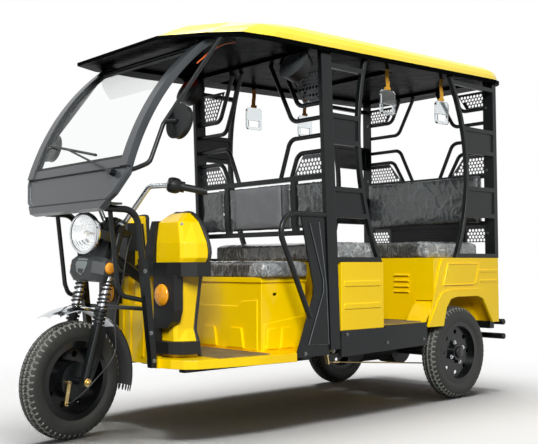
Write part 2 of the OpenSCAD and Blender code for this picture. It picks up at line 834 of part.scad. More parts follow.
module b_panels() {
    difference() {
        for (z = [[970, 1090], [1320, 1440]]) translate([690, z[0]]) square([b_x(z[0]) - 690, z[1] - z[0]]);
        translate([bow_x, bow_z]) circle(bow_r, $fn = 180);
    }
}

module b_pillars() {
    color("#1a1a1c") placed() both_sides() {
        side_slab(post_in, post_out) b_ladder();
        side_slab(post_in + 6, post_out - 9) b_panels();
    }
}

// Circle of the curved bow ahead of the rear post
arc_x = 944;
arc_z = 1239;
arc_r = 1021;

// Inner edge of the flange of the rear posts
flange_in = post_in - 43;

module c_ladder() {
    low = belt_z + seat;
    intersection() {
        union() {
            translate([c_post - c_half, low]) square([2 * c_half, 1100]);
            intersection() {
                translate([arc_x, arc_z]) difference() {
                    circle(arc_r + 11, $fn = 180);
                    circle(arc_r - 11, $fn = 180);
                }
                translate([-120, low]) square([260, 1100]);
            }
            for (z = [low, 996, 1146, 1356, 1481, 1730]) difference() {
                translate([c_post, z]) square([420, 24]);
                translate([arc_x, arc_z]) circle(arc_r, $fn = 180);
            }
        }
        roof_side(seat);
    }
}

module c_panels() {
    difference() {
        for (z = [[1010, 1156], [1370, 1490]]) translate([c_post, z[0]]) square([360, z[1] - z[0]]);
        translate([arc_x, arc_z]) circle(arc_r, $fn = 180);
    }
}

module c_pillars() {
    color("#1a1a1c") placed() both_sides() {
        side_slab(post_in, post_out) c_ladder();
        side_slab(post_in + 6, post_out - 9) c_panels();
        intersection() {
            block([c_post + 12 + seat, flange_in, belt_z + seat], [c_post + c_half, post_in + 1, 1900]);
            side_slab(0, 600) roof_side(seat);
        }
    }
}

// Levels of the backrest frames in the middle and rear cross planes
b_low = 877 - floor_z;
b_high = 1168 - floor_z;
c_low = 960;
c_high = 1262;
// Half width of the middle of the front backrest, and half a divider bar
pad_half = 256;
bar_half_w = 16;
// Hoops of a cross plane: foot across, foot height, corner across, corner height
b_hoops = [[160, b_high - 5, 238, 1017], [238, b_high - 5, 290, 942], [108, 1412, 258, 1102], [186, 1412,
    304, 1172]];
c_hoops = [[105, c_high - 5, 205, 1463], [175, c_high - 5, 255, 1392], [80, 1800, 215, 1563], [196, 1800,
    270, 1648]];

// Cabin rails of one cross plane
module plane_rails(low, high, hoops, dividers) {
    wall = post_in - seat;
    for (z = [low, high - 25]) block([-12, -wall, z], [12, wall, z + 25]);
    for (y = dividers) block([-12, y - bar_half_w, low], [12, y + bar_half_w, high]);
    both_sides() for (h = hoops) bent_tube([[0, h[0], h[1]], [0, h[2], h[3]], [0, wall, h[3]]], rail_r, 55);
}

module cabin_rails() {
    color("#1a1a1c") placed() under_roof() {
        b_plane() plane_rails(b_low, b_high, b_hoops, [-pad_half, pad_half]);
        translate([c_post, 0, 0]) plane_rails(c_low, c_high, c_hoops, []);
    }
}

// Perforated sheet of a cross plane: inner edge at the foot and at the top, outer edge, foot and top height
module mesh_sheet(yb, yt, y1, z0, z1) {
    pitch = 22;
    row = pitch * 0.866;
    rotate([90, 0, 90]) translate([0, 0, -1]) linear_extrude(2) difference() {
        polygon([[yb, z0], [y1, z0], [y1, z1], [yt, z1]]);
        for (j = [0 : floor((z1 - z0 - 26) / row)]) let (z = z0 + 13 + j * row,
            left = yb + (yt - yb) * (z - z0) / (z1 - z0) + 14)
            for (i = [0 : floor((y1 - 13 - left) / pitch)]) if (y1 - 13 - (i + (j % 2) / 2) * pitch > left)
                translate([y1 - 13 - (i + (j % 2) / 2) * pitch, z]) circle(9.4, $fn = 6);
    }
}

module plane_mesh(high, hoops, top) {
    wall = post_in - seat;
    edge = rail_r + 2 * seat;
    low_hoop = hoops[1];
    top_hoop = hoops[3];
    both_sides() {
        mesh_sheet(low_hoop[0] + edge + 4, low_hoop[2] + 34, wall, high + seat, low_hoop[3] - edge);
        mesh_sheet(top_hoop[2] + 34, top_hoop[2] + edge + 6 - (top - top_hoop[3]) * 0.42, wall,
            top_hoop[3] + edge, top);
    }
}

module mesh_panels() {
    wall = post_in - seat;
    color("#2a2b2e") placed() {
        b_plane() plane_mesh(b_high, b_hoops, 1330);
        translate([c_post, 0, 0]) {
            plane_mesh(c_high, c_hoops, 1752);
            both_sides() mesh_sheet(vent_half + seat, vent_half + seat, wall, 862, c_low - seat);
        }
    }
}

// Louvred panel under the rear backrest
vent_half = 284;

module rear_vent() {
    color("#1c1c1e") placed() difference() {
        block([c_post - 6, -vent_half, 862], [c_post + 6, vent_half, c_low - seat]);
        for (z = [876, 892, 908, 924, 940]) block([c_post - 2, -vent_half + 14, z], [c_post + 10,
            vent_half - 14, z + 8]);
    }
}

// Seats

// Block with chamfered upright edges and a chamfered top edge
module cushion(a, b, cut) {
    loft([cushion_ring(a, b, a[2], cut), cushion_ring(a, b, b[2] - cut, cut),
        cushion_ring(a + [cut, cut, 0], b - [cut, cut, 0], b[2], cut)]);
}

function cushion_ring(a, b, z, cut) = [[a[0] + cut, a[1], z], [b[0] - cut, a[1], z], [b[0], a[1] + cut,
    z], [b[0], b[1] - cut, z],
    [b[0] - cut, b[1], z], [a[0] + cut, b[1], z], [a[0], b[1] - cut, z], [a[0], a[1] + cut, z]];

box_top = 676;

// Stamped bosses at the foot of the seat box: half width at the foot and at the top, foot and top height
boss_foot = 56;
boss_head = 40;
boss_z = [350, 440];

module boss(out) {
    linear_extrude(out) polygon([[-boss_foot, boss_z[0]], [boss_foot, boss_z[0]], [boss_head, boss_z[1]],
        [-boss_head, boss_z[1]]]);
}

// Raised lower field and bosses on the front of the seat box
module front_pressing() {
    translate([1359, 0, 0]) rotate([90, 0, 90]) {
        linear_extrude(6) polygon([[-340, 343], [340, 343], [340, 572], [231, 565], [202, 541], [-202, 541],
            [-231, 565], [-340, 572]]);
        for (y = [-196, 0, 196]) translate([y, 0, 0]) boss(16);
    }
}

// Raised lower field and bosses on a side of the seat box
module side_pressing() {
    side_slab(364, 369) polygon([[1090, 343], [1344, 343], [1344, 462], [1090, 492]]);
    translate([0, 364, 0]) mirror([0, 1, 0]) rotate([90, 0, 0]) for (x = [1209, 1297]) translate([x, 0, 0])
        scale([0.62, 1, 1]) boss(13);
}

module driver_seat_box() {
    color("#e9b72c") placed() {
        difference() {
            block([1075, -365, floor_z + seat], [1360, 365, box_top]);
            block([1083, -357, floor_z], [1352, 357, box_top - skin]);
            block([1262, 350, 591], [1286, 380, 603]);
        }
        block([1075, -373, box_top - 24], [1368, 373, box_top]);
        front_pressing();
        both_sides() side_pressing();
    }
}

module driver_cushion() {
    color("#202022") placed() cushion([1082, -410, box_top + seat], [1385, 410, 747], 22);
}

module backrest_pads() {
    edge = bar_half_w + seat;
    low = b_low + 25 + seat;
    high = b_high - 25 - seat;
    color("#3c3e40") placed() b_plane() {
        block([-10, edge - pad_half, low], [16, pad_half - edge, high]);
        block([15, -186, low + 6], [28, 186, high - 6]);
        both_sides() block([-10, pad_half + edge, low], [18, post_in - 2 * seat, high]);
    }
}

module front_bench_base() {
    color("#e9b72c") placed() {
        both_sides() block([660, sill_half + seat, deck_z - 10], [970, post_out, bench_z]);
        both_sides() block([660, sill_half - 10, deck_z + seat], [970, sill_half + 2, bench_z]);
        both_sides() for (z = [520, 628]) side_slab(post_out - 1, post_out + 4)
            polygon([[690, z], [944, z], [950, z + 6], [950, z + 20], [944, z + 26], [690, z + 26], [684,
                z + 20],
                [684, z + 6]]);
        for (x = [660, 958]) block([x, -post_in, deck_z + seat], [x + 12, post_in, bench_z]);
        block([660, -post_in, bench_z - 12], [970, post_in, bench_z]);
    }
}

module front_bench_cushion() {
    color("#202022") placed() cushion([652, 9 - post_in, bench_z + seat], [972, post_in - 9, 840], 22);
}

module battery_pack() {
    color("#2e3033") placed() block([690, -340, deck_z + seat], [940, 340, 660]);
}

module rear_bench_base() {
    color("#e9b72c") placed() difference() {
        union() {
            block([232, -well_in, deck_z + seat], [244, well_in, belt_z]);
            block([-338, -440 + seat, belt_z - 12], [244, 440 - seat, belt_z]);
        }
        for (y = [-330, 230], z = [575, 605, 635, 665]) block([225, y, z], [250, y + 100, z + 12]);
    }
}

module rear_bench_cushion() {
    color("#202022") placed() cushion([-230, 9 - post_in, belt_z + seat], [262, post_in - 9, 854], 24);
}

module rear_backrest() {
    color("#202022") placed() block([c_post - 10, seat - flange_in, 985 + seat], [c_post + 70,
        flange_in - seat, 1237 - seat]);
}

// Rear body

// Edge of the wheel arch and outer edge of its flared lip, from front to rear
arch_edge = [[178, 404], [150, 500], [112, 545], [60, 556], [-140, 556], [-192, 540], [-222, 500], [-286,
    404]];
lip_edge = [[-330, 404], [-268, 510], [-225, 575], [-150, 597], [120, 597], [185, 582], [225, 540], [312,
    404]];
// Outer and inner radius of the wheel house round the axle
house_out = 372;
house_in = 362;

module quarter_side() {
    polygon(concat([[-356, 402], [-356, belt_z], [150, belt_z], [178, belt_z - 10], [192, belt_z - 34],
        [308, 408]],
        arch_edge));
}

// Tunnel round a rear wheel, above the floor
module house_side(inner) {
    intersection() {
        translate([0, axle_z]) difference() {
            circle(house_out, $fn = 120);
            if (inner > 0) circle(inner, $fn = 120);
        }
        union() {
            translate([-337, 406]) square([337 + 300 - seat, 300]);
            translate([0, deck_z + seat]) square([400, 300]);
        }
    }
}

module quarter_panels() {
    color("#e9b72c") placed() {
        block([-368, -body_half + 13, 408], [-356 - seat, body_half - 13, belt_z]);
        both_sides() quarter_panel();
    }
}

module quarter_panel() {
    side_slab(body_half - 9, body_half) quarter_side();
    side_slab(body_half - 1, body_half + 6) polygon(concat(arch_edge, lip_edge));
    side_slab(body_half - 1, body_half + 4) polygon([[176, 622], [132, 736], [-156, 736], [-124, 634],
        [-108, 622]]);
    for (z = [632, 688]) side_slab(body_half - 1, body_half + 3)
        polygon([[-340, z], [-176, z], [-168, z + 7], [-176, z + 14], [-340, z + 14]]);
    block([-356, 440, belt_z - 12], [150, body_half, belt_z]);
    side_slab(well_in + seat, body_half - 8) house_side(house_in);
    side_slab(well_in + seat, well_in + 10) house_side(0);
}

module rear_bumper() {
    color("#1a1a1c") placed() {
        rod([-420, -490, 398], [-420, 490, 398], 17);
        rod([-420, -490, 315], [-420, 490, 315], 17);
        rod([-420, -270, 315], [-420, 270, 315], 18);
        both_sides() block([-432, 240, 310], [-340 - seat, 260, 402]);
    }
}

module side_steps() {
    color("#1a1a1c") placed() both_sides() {
        side_slab(sill_half + seat, body_half) polygon([[318, 312], [975, 296], [975,
            deck_z - 10 - seat], [318, deck_z - 10 - seat]]);
        block([318, sill_half + seat, 395], [655, body_half, deck_z]);
    }
}

module side_guards() {
    front = b_half + seat;
    color("#1a1a1c") placed() both_sides() {
        bent_tube([[b_x(966) + b_half + 1.5, post_in + 13, 966], [1399, post_in + 13, 966], [1170,
            post_in + 13, 490]], 13, 85);
        side_slab(post_in + 9, post_in + 17) polygon([[b_x(957) + front, 957], [1226, 957], [1148, 640],
            [1150, 590], [1256, 330],
            [1250, 312], [b_x(340) + front, 312], [b_x(340) + front, 340]]);
        side_slab(post_in + 16, post_in + 20) polygon([[1174, 926], [1112, 930], [1066, 640], [1052,
            362], [1185, 367],
            [1086, 606], [1086, 662]]);
    }
}

// Rear running gear

module rear_axle() {
    color("#26272a") placed() {
        rod([0, 56 - track / 2, axle_z], [0, track / 2 - 56, axle_z], 34);
        rod([0, -60, axle_z], [0, 70, axle_z], 92);
        rod([60, 5, axle_z + 10], [330, 5, axle_z + 10], 76);
        both_sides() {
            rod([0, track / 2 - 62, axle_z], [0, track / 2 - 52, axle_z], 84);
            rod([0, track / 2 - 60, axle_z], [0, track / 2 + 18, axle_z], 15);
            block([-42, 222, axle_z], [42, 278, axle_z + 36]);
        }
    }
}

module leaf_springs() {
    arc_r = 2094;
    color("#1e1f21") placed() both_sides() side_slab(226, 274) {
        for (leaf = [[330, 0], [240, 8], [150, 16]]) intersection() {
            translate([0, axle_z + 61 + arc_r]) difference() {
                circle(arc_r + leaf[1] + 8.3, $fn = 240);
                circle(arc_r + leaf[1], $fn = 240);
            }
            translate([-leaf[0], 200]) square([2 * leaf[0], 140]);
        }
        translate([-45, axle_z + 36 + seat]) square([90, 28]);
        for (x = [-330, 300]) translate([x, 318]) square([30, 27 - seat]);
    }
}

// Fittings

// Grab straps as station and side, and the level where a strap meets its handle
strap_places = [[520, 1], [54, 1], [707, -1], [291, -1]];
strap_z = 1640;

module grab_straps() {
    color("#e3b21c") placed() under_roof() for (p = strap_places) scale([1, p[1], 1])
        block([p[0] - 14, 420, strap_z], [p[0] + 14, 423, 1800]);
}

module grab_handles() {
    color("#d8dde0") placed() for (p = strap_places) translate([p[0], p[1] * 421.5 - 421.5, strap_z - seat])
        side_slab(414, 429) difference() {
            polygon([[-46, 0], [46, 0], [56, -10], [56, -116], [46, -126], [-46, -126], [-56, -116],
                [-56, -10]]);
            translate([-42, -112]) square([84, 40]);
        }
}

// Route of the lead from the screen post up to the roof
lead_route = [[1772, glass_half + 55.4, 1590], [1735, glass_half + 57, 1622], [1700, glass_half + 58,
    1652], [1634, glass_half + 59, 1692],
    [1590, glass_half + 60, 1708], [1560, glass_half + 60, 1717]];

module roof_lead() {
    color("#d9641a") placed() cord(smooth(lead_route, 4), 3, [0, 1, 0]);
}

module roof_speakers() {
    color("#1c1c1e") placed() under_roof() both_sides() {
        translate([1140, 410, 1655]) rotate([0, 60, 0]) cylinder(r1 = 70, r2 = 86, h = 60);
        rod([1150, 410, 1670], [1150, 410, 1800], 16);
    }
}

chassis_frame();
floor_pan();
front_apron();
leg_shields();
shield_trim();
signal_lamps();
crash_guard();
windscreen_glass();
windscreen_frame();
cowl_panel();
wiper();
mirrors();
roof_shell();
roof_liner();
b_pillars();
c_pillars();
cabin_rails();
mesh_panels();
driver_seat_box();
driver_cushion();
backrest_pads();
front_bench_base();
front_bench_cushion();
battery_pack();
rear_bench_base();
rear_bench_cushion();
rear_backrest();
quarter_panels();
rear_bumper();
side_steps();
side_guards();
rear_axle();
leaf_springs();
grab_straps();
grab_handles();
roof_speakers();
roof_lead();
rear_vent();
steering_stem();
fork_tubes();
fork_springs();
fork_legs();
brake_gear();
brake_cable();
front_mudguard();
mud_flap();
handlebar();
grips();
headlamp();
headlamp_lens();
lamp_fascia();
fascia_signals();
front_tyre();
front_wheel();
rear_left_tyre();
rear_left_wheel();
rear_right_tyre();
rear_right_wheel();
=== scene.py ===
# %% [markdown]
# # Dressing an electric passenger tricycle
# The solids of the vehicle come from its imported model, in metres, with the floor at zero, the nose towards +X and the
# left side towards +Y. This lesson gives every solid a finish and adds what a solid model leaves out: stuffed seats,
# tread, lenses, rubber edging, mats and fasteners. Nothing that came with the frame is moved: only its sharp edges
# are rounded.

# %% Load the frame
import json
import math
import bmesh
import bpy
from mathutils import Matrix, Vector, noise


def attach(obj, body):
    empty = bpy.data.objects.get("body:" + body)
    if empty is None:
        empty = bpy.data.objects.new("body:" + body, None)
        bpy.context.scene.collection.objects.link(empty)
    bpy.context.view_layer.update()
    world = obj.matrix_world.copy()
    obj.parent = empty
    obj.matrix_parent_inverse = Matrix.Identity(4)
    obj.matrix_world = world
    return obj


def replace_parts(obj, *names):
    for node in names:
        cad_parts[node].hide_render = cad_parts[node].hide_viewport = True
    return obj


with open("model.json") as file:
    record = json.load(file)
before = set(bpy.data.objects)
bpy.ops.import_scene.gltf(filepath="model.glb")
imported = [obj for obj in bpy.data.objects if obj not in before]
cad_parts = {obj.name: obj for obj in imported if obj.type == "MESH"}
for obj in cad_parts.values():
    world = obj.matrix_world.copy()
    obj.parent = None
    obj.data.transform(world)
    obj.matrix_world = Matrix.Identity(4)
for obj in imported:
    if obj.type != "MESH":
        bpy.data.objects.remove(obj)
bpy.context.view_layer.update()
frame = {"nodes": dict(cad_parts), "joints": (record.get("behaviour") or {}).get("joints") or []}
joints = {joint["name"]: joint for joint in frame["joints"]}

# %% [markdown]
# ## Two ways to say where something is
# A maker measures this vehicle in millimetres from the rear axle, the middle plane and the floor, so `at` turns such
# a measure into a scene point. What turns with the handlebar is easier to place in the fork's own frame: ahead of the
# steering axis, to the left, and up along the axis. Both frames are read from the joints, so they follow the model.

# %% Places on the body and on the fork
rear_axle = Vector(joints["rear_left_wheel_spin"]["pos_m"])
fork_up = Vector(joints["steering_turn"]["axis"]).normalized()
fork_left = Vector(joints["front_wheel_spin"]["axis"]).normalized()
FORK = Matrix((fork_left.cross(fork_up), fork_left, fork_up)).transposed().to_4x4()
FORK.translation = Vector(joints["steering_turn"]["pos_m"])


def at(station, across, up):
    """Scene point from millimetres ahead of the rear axle, left of the middle and above the floor."""
    return Vector((rear_axle.x + station / 1000, across / 1000, up / 1000))


def on_fork(ahead, across, up):
    """Scene point from millimetres ahead of the steering axis, left of it and up along it."""
    return FORK @ (Vector((ahead, across, up)) / 1000)


print("front axle at", [round(c, 3) for c in joints["front_wheel_spin"]["pos_m"]])

# %% [markdown]
# ## The camera
# The camera stands ahead of the vehicle on its left, at waist height, and looks slightly up. The place and the angles
# were found by fitting the wheels, the floor edge and the pillars. Its three axes are built from yaw, pitch and roll,
# because Blender's camera looks along its own -Z, with +Y up.

# %% Camera
PHOTO_WIDTH_PX = 538
FOCAL_PX = 868.3
SENSOR_MM = 36.0
CAMERA_STATION, CAMERA_ACROSS, CAMERA_UP = 4009.7, 3319.8, 732.9
YAW, PITCH, ROLL = (math.radians(angle) for angle in (227.581, 2.833, 0.215))

camera = bpy.data.objects.new("camera", bpy.data.cameras.new("camera"))
bpy.context.scene.collection.objects.link(camera)
bpy.context.scene.camera = camera
camera.data.sensor_width = SENSOR_MM
camera.data.lens = FOCAL_PX * SENSOR_MM / PHOTO_WIDTH_PX
camera.data.clip_end = 100
gaze = Vector((math.cos(PITCH) * math.cos(YAW), math.cos(PITCH) * math.sin(YAW), math.sin(PITCH)))
level = Vector((math.sin(YAW), -math.cos(YAW), 0))
plumb = gaze.cross(level)
right = math.cos(ROLL) * level + math.sin(ROLL) * plumb
down = math.cos(ROLL) * plumb - math.sin(ROLL) * level
camera.matrix_world = Matrix((right, -down, -gaze)).transposed().to_4x4()
camera.matrix_world.translation = at(CAMERA_STATION, CAMERA_ACROSS, CAMERA_UP)
print("lens", round(camera.data.lens, 2), "mm")

# %% [markdown]
# ## Small helpers for finishes
# Paint makers give colours as sRGB hex values and Blender works in linear light, so one function converts. Another adds
# a shader node with its settings, its plain values and its links, so that a finish reads as a list of its nodes.

# %% Colour and node helpers
def linear(hex_colour):
    """Linear RGBA from an sRGB hex value."""
    channels = [int(hex_colour[i:i + 2], 16) / 255 for i in (1, 3, 5)]
    return tuple(c / 12.92 if c <= 0.04045 else ((c + 0.055) / 1.055) ** 2.4 for c in channels) + (1.0,)


def add(tree, kind, inputs=None, **settings):
    """Adds a node: settings are its own, inputs are values or sockets to link from."""
    node = tree.nodes.new(kind)
    for name, value in settings.items():
        setattr(node, name, value)
    for name, value in (inputs or {}).items():
        if isinstance(value, bpy.types.NodeSocket):
            tree.links.new(value, node.inputs[name])
        else:
            node.inputs[name].default_value = value
    return node


print("black enamel in linear light", [round(c, 3) for c in linear("#26292a")])

# %% [markdown]
# ## The usual coat
# No paint or plastic is quite even, and a perfectly even one looks false. So the usual coat has a colour that drifts a
# little over the piece, a roughness that drifts with it, and a fine grain in the normal, each with a size in
# millimetres. Whatever else a material needs is set straight on the shader.

# %% A coat
DRIFT_MM = 150


def finish(name, colour, second, roughness, drift_mm=DRIFT_MM, spread=0.05, grain_mm=None, grain=0.1, **sockets):
    """A material whose colour drifts from one hex value to a second, with a grain of a real size."""
    material = bpy.data.materials.new(name)
    material.use_nodes = True
    tree = material.node_tree
    shader = tree.nodes["Principled BSDF"]
    place = add(tree, "ShaderNodeTexCoord").outputs["Object"]
    drift = add(tree, "ShaderNodeTexNoise", {"Vector": place, "Scale": 1000 / drift_mm, "Detail": 5.0}).outputs["Fac"]
    ramp = add(tree, "ShaderNodeValToRGB", {"Fac": drift})
    ramp.color_ramp.elements[0].position = 0.35
    ramp.color_ramp.elements[0].color = linear(colour)
    ramp.color_ramp.elements[1].position = 0.7
    ramp.color_ramp.elements[1].color = linear(second)
    tree.links.new(ramp.outputs["Color"], shader.inputs["Base Color"])
    rough = add(tree, "ShaderNodeMapRange", {"Value": drift, "From Min": 0.3, "From Max": 0.7,
                                             "To Min": roughness - spread, "To Max": roughness + spread})
    tree.links.new(rough.outputs["Result"], shader.inputs["Roughness"])
    if grain_mm:
        fine = add(tree, "ShaderNodeTexNoise", {"Vector": place, "Scale": 1000 / grain_mm, "Detail": 3.0})
        bump = add(tree, "ShaderNodeBump", {"Height": fine.outputs["Fac"], "Strength": grain,
                                            "Distance": grain_mm / 1000})
        tree.links.new(bump.outputs["Normal"], shader.inputs["Normal"])
    for socket, value in sockets.items():
        shader.inputs[socket.replace("_", " ")].default_value = value
    return material


print("a coat drifts over", DRIFT_MM, "mm unless it is told otherwise")

# %% [markdown]
# ## Painted and plated metal
# The body is pressed steel under yellow gloss enamel: a clear upper coat over colour, so it gets a coat layer and only
# a trace of orange peel. The posts and tubes are black powder coat, which is satin with a pebbled grain of about 1 mm.
# The screen frame and cowl are a dark grey enamel. Plated and bare metals are fully metallic, so their colour is their
# reflection.

# %% Paints and metals
yellow_enamel = finish("yellow_gloss_enamel", "#ffd800", "#fbcf00", 0.3, drift_mm=400, grain_mm=4, grain=0.02,
                       Specular_IOR_Level=0.2, Coat_Weight=0.25, Coat_Roughness=0.08)
# The roof is the body's yellow painted paler, as a painted highlight for the stronger light on its top.
roof_yellow_painted_pale = finish("yellow_roof_painted_pale", "#fde24a", "#fbdc30", 0.26, drift_mm=500, grain_mm=5, grain=0.02,
                     Coat_Weight=0.4, Coat_Roughness=0.12, IOR=1.5, Specular_IOR_Level=0.3)
black_powder = finish("black_satin_powder_coat", "#0f1213", "#151819", 0.32, grain_mm=1.2, grain=0.05, IOR=1.5,
                      Specular_IOR_Level=0.28)
black_gloss = finish("black_gloss_enamel", "#0a0b0c", "#111213", 0.24, grain_mm=3, grain=0.03, Coat_Weight=0.15,
                     IOR=1.45, Specular_IOR_Level=0.35)
grey_enamel = finish("dark_grey_satin_enamel", "#34383b", "#3b3f43", 0.34, drift_mm=300, grain_mm=1.5, grain=0.03,
                     Coat_Weight=0.25, Coat_Roughness=0.2, IOR=1.5)
chrome = finish("polished_chrome_plate", "#d9dcde", "#cfd3d6", 0.12, spread=0.04, Metallic=1.0)
bright_steel = finish("ground_bright_steel", "#c9ccce", "#bcc0c3", 0.26, grain_mm=1.0, grain=0.03, Metallic=1.0)
zinc = finish("yellow_zinc_passivate", "#e0cf9c", "#c9a765", 0.34, drift_mm=14, Metallic=1.0)
dull_zinc = finish("dull_zinc_plate", "#8f9290", "#6f7270", 0.4, drift_mm=10, Metallic=1.0)
# Light grey for the painted highlight along the guard beads.
bead_highlight_grey = finish("painted_bead_highlight_grey", "#6d7376", "#545a5d", 0.35, drift_mm=40, Metallic=0.3)
spring_steel = finish("black_spring_steel", "#131415", "#1b1c1e", 0.36, grain_mm=1.0, grain=0.05)
cast_metal = finish("sand_cast_iron_enamel", "#2a2c2d", "#35383a", 0.55, grain_mm=3.0, grain=0.25)
print("mixed", len(bpy.data.materials), "materials so far")

# %% [markdown]
# ## Plastics and rubber
# Moulded covers are polypropylene with a leather grain. The roof lining is vacuum formed sheet, smooth and very dark.
# Tyres and edging are carbon black rubber, dull and slightly grey where they bloom. The floor mats are ribbed rubber,
# brown with dust. One coat function makes them all, because only colour, roughness and grain differ.

# %% Plastics and rubber
moulded_black = finish("moulded_black_polypropylene", "#111213", "#181919", 0.42, grain_mm=1.4, grain=0.1, IOR=1.49,
                       Specular_IOR_Level=0.3)
field_grey = finish("silver_grey_polypropylene", "#7d8384", "#878d8e", 0.42, grain_mm=1.4, grain=0.08, IOR=1.49)
moulded_grey = finish("moulded_grey_polypropylene", "#2c2f30", "#36393b", 0.48, grain_mm=1.4, grain=0.15, IOR=1.49)
liner_black = finish("vacuum_formed_black_abs", "#060707", "#0b0c0c", 0.26, drift_mm=250, grain_mm=80, grain=0.05,
                     IOR=1.1, Specular_IOR_Level=0.04)
tyre_rubber = finish("tyre_rubber", "#191a18", "#262722", 0.66, drift_mm=60, grain_mm=2.0, grain=0.15, IOR=1.5)
groove_dust = finish("dusty_tread_grooves", "#6f716a", "#8b8d86", 0.85, drift_mm=12, grain_mm=2.0, grain=0.3)
edge_rubber = finish("extruded_black_rubber", "#131414", "#1c1d1d", 0.55, grain_mm=1.2, grain=0.1, IOR=1.52)
mat_rubber = finish("dusty_ribbed_rubber", "#6a5936", "#85724a", 0.75, drift_mm=90, spread=0.1, grain_mm=2, grain=0.3)
orange_pvc = finish("orange_pvc_insulation", "#e0661a", "#c9540f", 0.4, drift_mm=20, IOR=1.53)
moulded_white = finish("white_moulded_plastic", "#d9d8d2", "#cfcec7", 0.45, grain_mm=1.0, grain=0.05)
moulded_red = finish("red_moulded_plastic", "#b8261c", "#9c1c15", 0.4, drift_mm=20, IOR=1.53)
battery_case = finish("moulded_battery_case", "#303436", "#3a3e40", 0.5, grain_mm=2, grain=0.1)
print("mixed", len(bpy.data.materials), "materials so far")

# %% [markdown]
# ## Clear materials
# Glass and acrylic are closed solids here, so light bends once on the way in and once on the way out, as in the real
# sheet. A clear solid would still throw a black shadow, because a ray tracer does not search for a lamp through it, so
# shadow rays pass straight through. Lamp reflectors and mirrors are a metal film on plastic or glass.

# %% Glass, lenses and reflectors
def clear(name, colour, roughness, ior):
    """A clear material that bends light and lets shadow rays pass."""
    material = finish(name, colour, colour, roughness, spread=0.01, IOR=ior, Transmission_Weight=1.0)
    tree = material.node_tree
    open_air = add(tree, "ShaderNodeBsdfTransparent", {"Color": linear(colour)}).outputs["BSDF"]
    shadow = add(tree, "ShaderNodeLightPath").outputs["Is Shadow Ray"]
    mixed = add(tree, "ShaderNodeMixShader", {0: shadow, 1: tree.nodes["Principled BSDF"].outputs["BSDF"], 2: open_air})
    tree.links.new(mixed.outputs["Shader"], tree.nodes["Material Output"].inputs["Surface"])
    return material


screen_glass = clear("clear_laminated_glass", "#fafcfb", 0.01, 1.14)
lamp_glass = clear("pressed_lamp_glass", "#fdfefe", 0.1, 1.16)
acrylic = clear("clear_acrylic", "#e9eff1", 0.06, 1.49)
amber = finish("amber_lens_acrylic", "#fbab12", "#f29a06", 0.2, drift_mm=8, Transmission_Weight=0.05, IOR=1.49,
               Coat_Weight=0.5)
mirror_silver = finish("silvered_mirror_glass", "#c9ced1", "#c1c7cb", 0.05, spread=0.01, Metallic=1.0)
reflector = finish("vacuum_metallised_reflector", "#fafafa", "#f4f5f6", 0.22, drift_mm=12, Metallic=0.85)
frosted = finish("frosted_bulb_glass", "#f3f1ea", "#ebe8de", 0.35, drift_mm=5, Transmission_Weight=0.3)
print("mixed", len(bpy.data.materials), "materials so far")

# %% [markdown]
# ## Webbing
# The grab straps are polyester webbing, ribbed along and across. Two wave patterns at right angles, multiplied, give
# the weave as a bump. The real thread is finer than a pixel here, so it is drawn at about 2 mm to show at all.

# %% Webbing
BAND_SCALE = 314  # a wave pattern repeats every 2 pi / 20 of its scale, so this gives one band a millimetre


def webbing(name, colour, second, thread_mm=2.2):
    """Polyester webbing with ribs across and along the strap."""
    material = finish(name, colour, second, 0.7, drift_mm=25, Sheen_Weight=0.3)
    tree = material.node_tree
    place = add(tree, "ShaderNodeTexCoord").outputs["Object"]
    ribs = [add(tree, "ShaderNodeTexWave", {"Vector": place, "Scale": BAND_SCALE / thread_mm},
                bands_direction=way).outputs["Fac"] for way in "XZ"]
    weave = add(tree, "ShaderNodeMath", {0: ribs[0], 1: ribs[1]}, operation="MULTIPLY").outputs["Value"]
    bump = add(tree, "ShaderNodeBump", {"Height": weave, "Strength": 0.5, "Distance": 0.0006}).outputs["Normal"]
    tree.links.new(bump, tree.nodes["Principled BSDF"].inputs["Normal"])
    return material


yellow_webbing = webbing("yellow_polyester_webbing", "#e6a90f", "#d8980a")
orange_webbing = webbing("orange_polyester_webbing", "#f09a1c", "#e68a12")
print("wove", yellow_webbing.name, "and", orange_webbing.name)

# %% [markdown]
# ## Seat covers
# The seats are in PVC leathercloth, still wrapped in clear delivery film. The cloth is dull and the film is smooth, so
# the film is a coat layer over a duller base, with a coarse bump where it does not lie flat.

# %% Leathercloth and film
film_vinyl = finish("black_leathercloth_in_film", "#2f2f2b", "#403f39", 0.36, drift_mm=70, spread=0.1, grain_mm=16,
                    grain=0.5, Coat_Weight=1.0, Coat_Roughness=0.07, IOR=1.5)
pad_vinyl = finish("grey_leathercloth", "#66686b", "#6f7173", 0.46, drift_mm=60, grain_mm=1.6, grain=0.15, IOR=1.5)
side_vinyl = finish("dark_leathercloth_in_film", "#303435", "#3d4142", 0.36, drift_mm=60, spread=0.1, grain_mm=16,
                    grain=0.4, Coat_Weight=0.9, Coat_Roughness=0.09, IOR=1.5)
# Pale grey painted reflection of the loose film at the seat ends, not a colour of the film itself.
loose_film_reflection_grey = finish("loose_film_painted_reflection", "#9a9d9d", "#6a6e6f", 0.22, drift_mm=26, spread=0.1, grain_mm=12, grain=0.7,
                    Coat_Weight=0.6)
print("cut", film_vinyl.name, "and", side_vinyl.name)
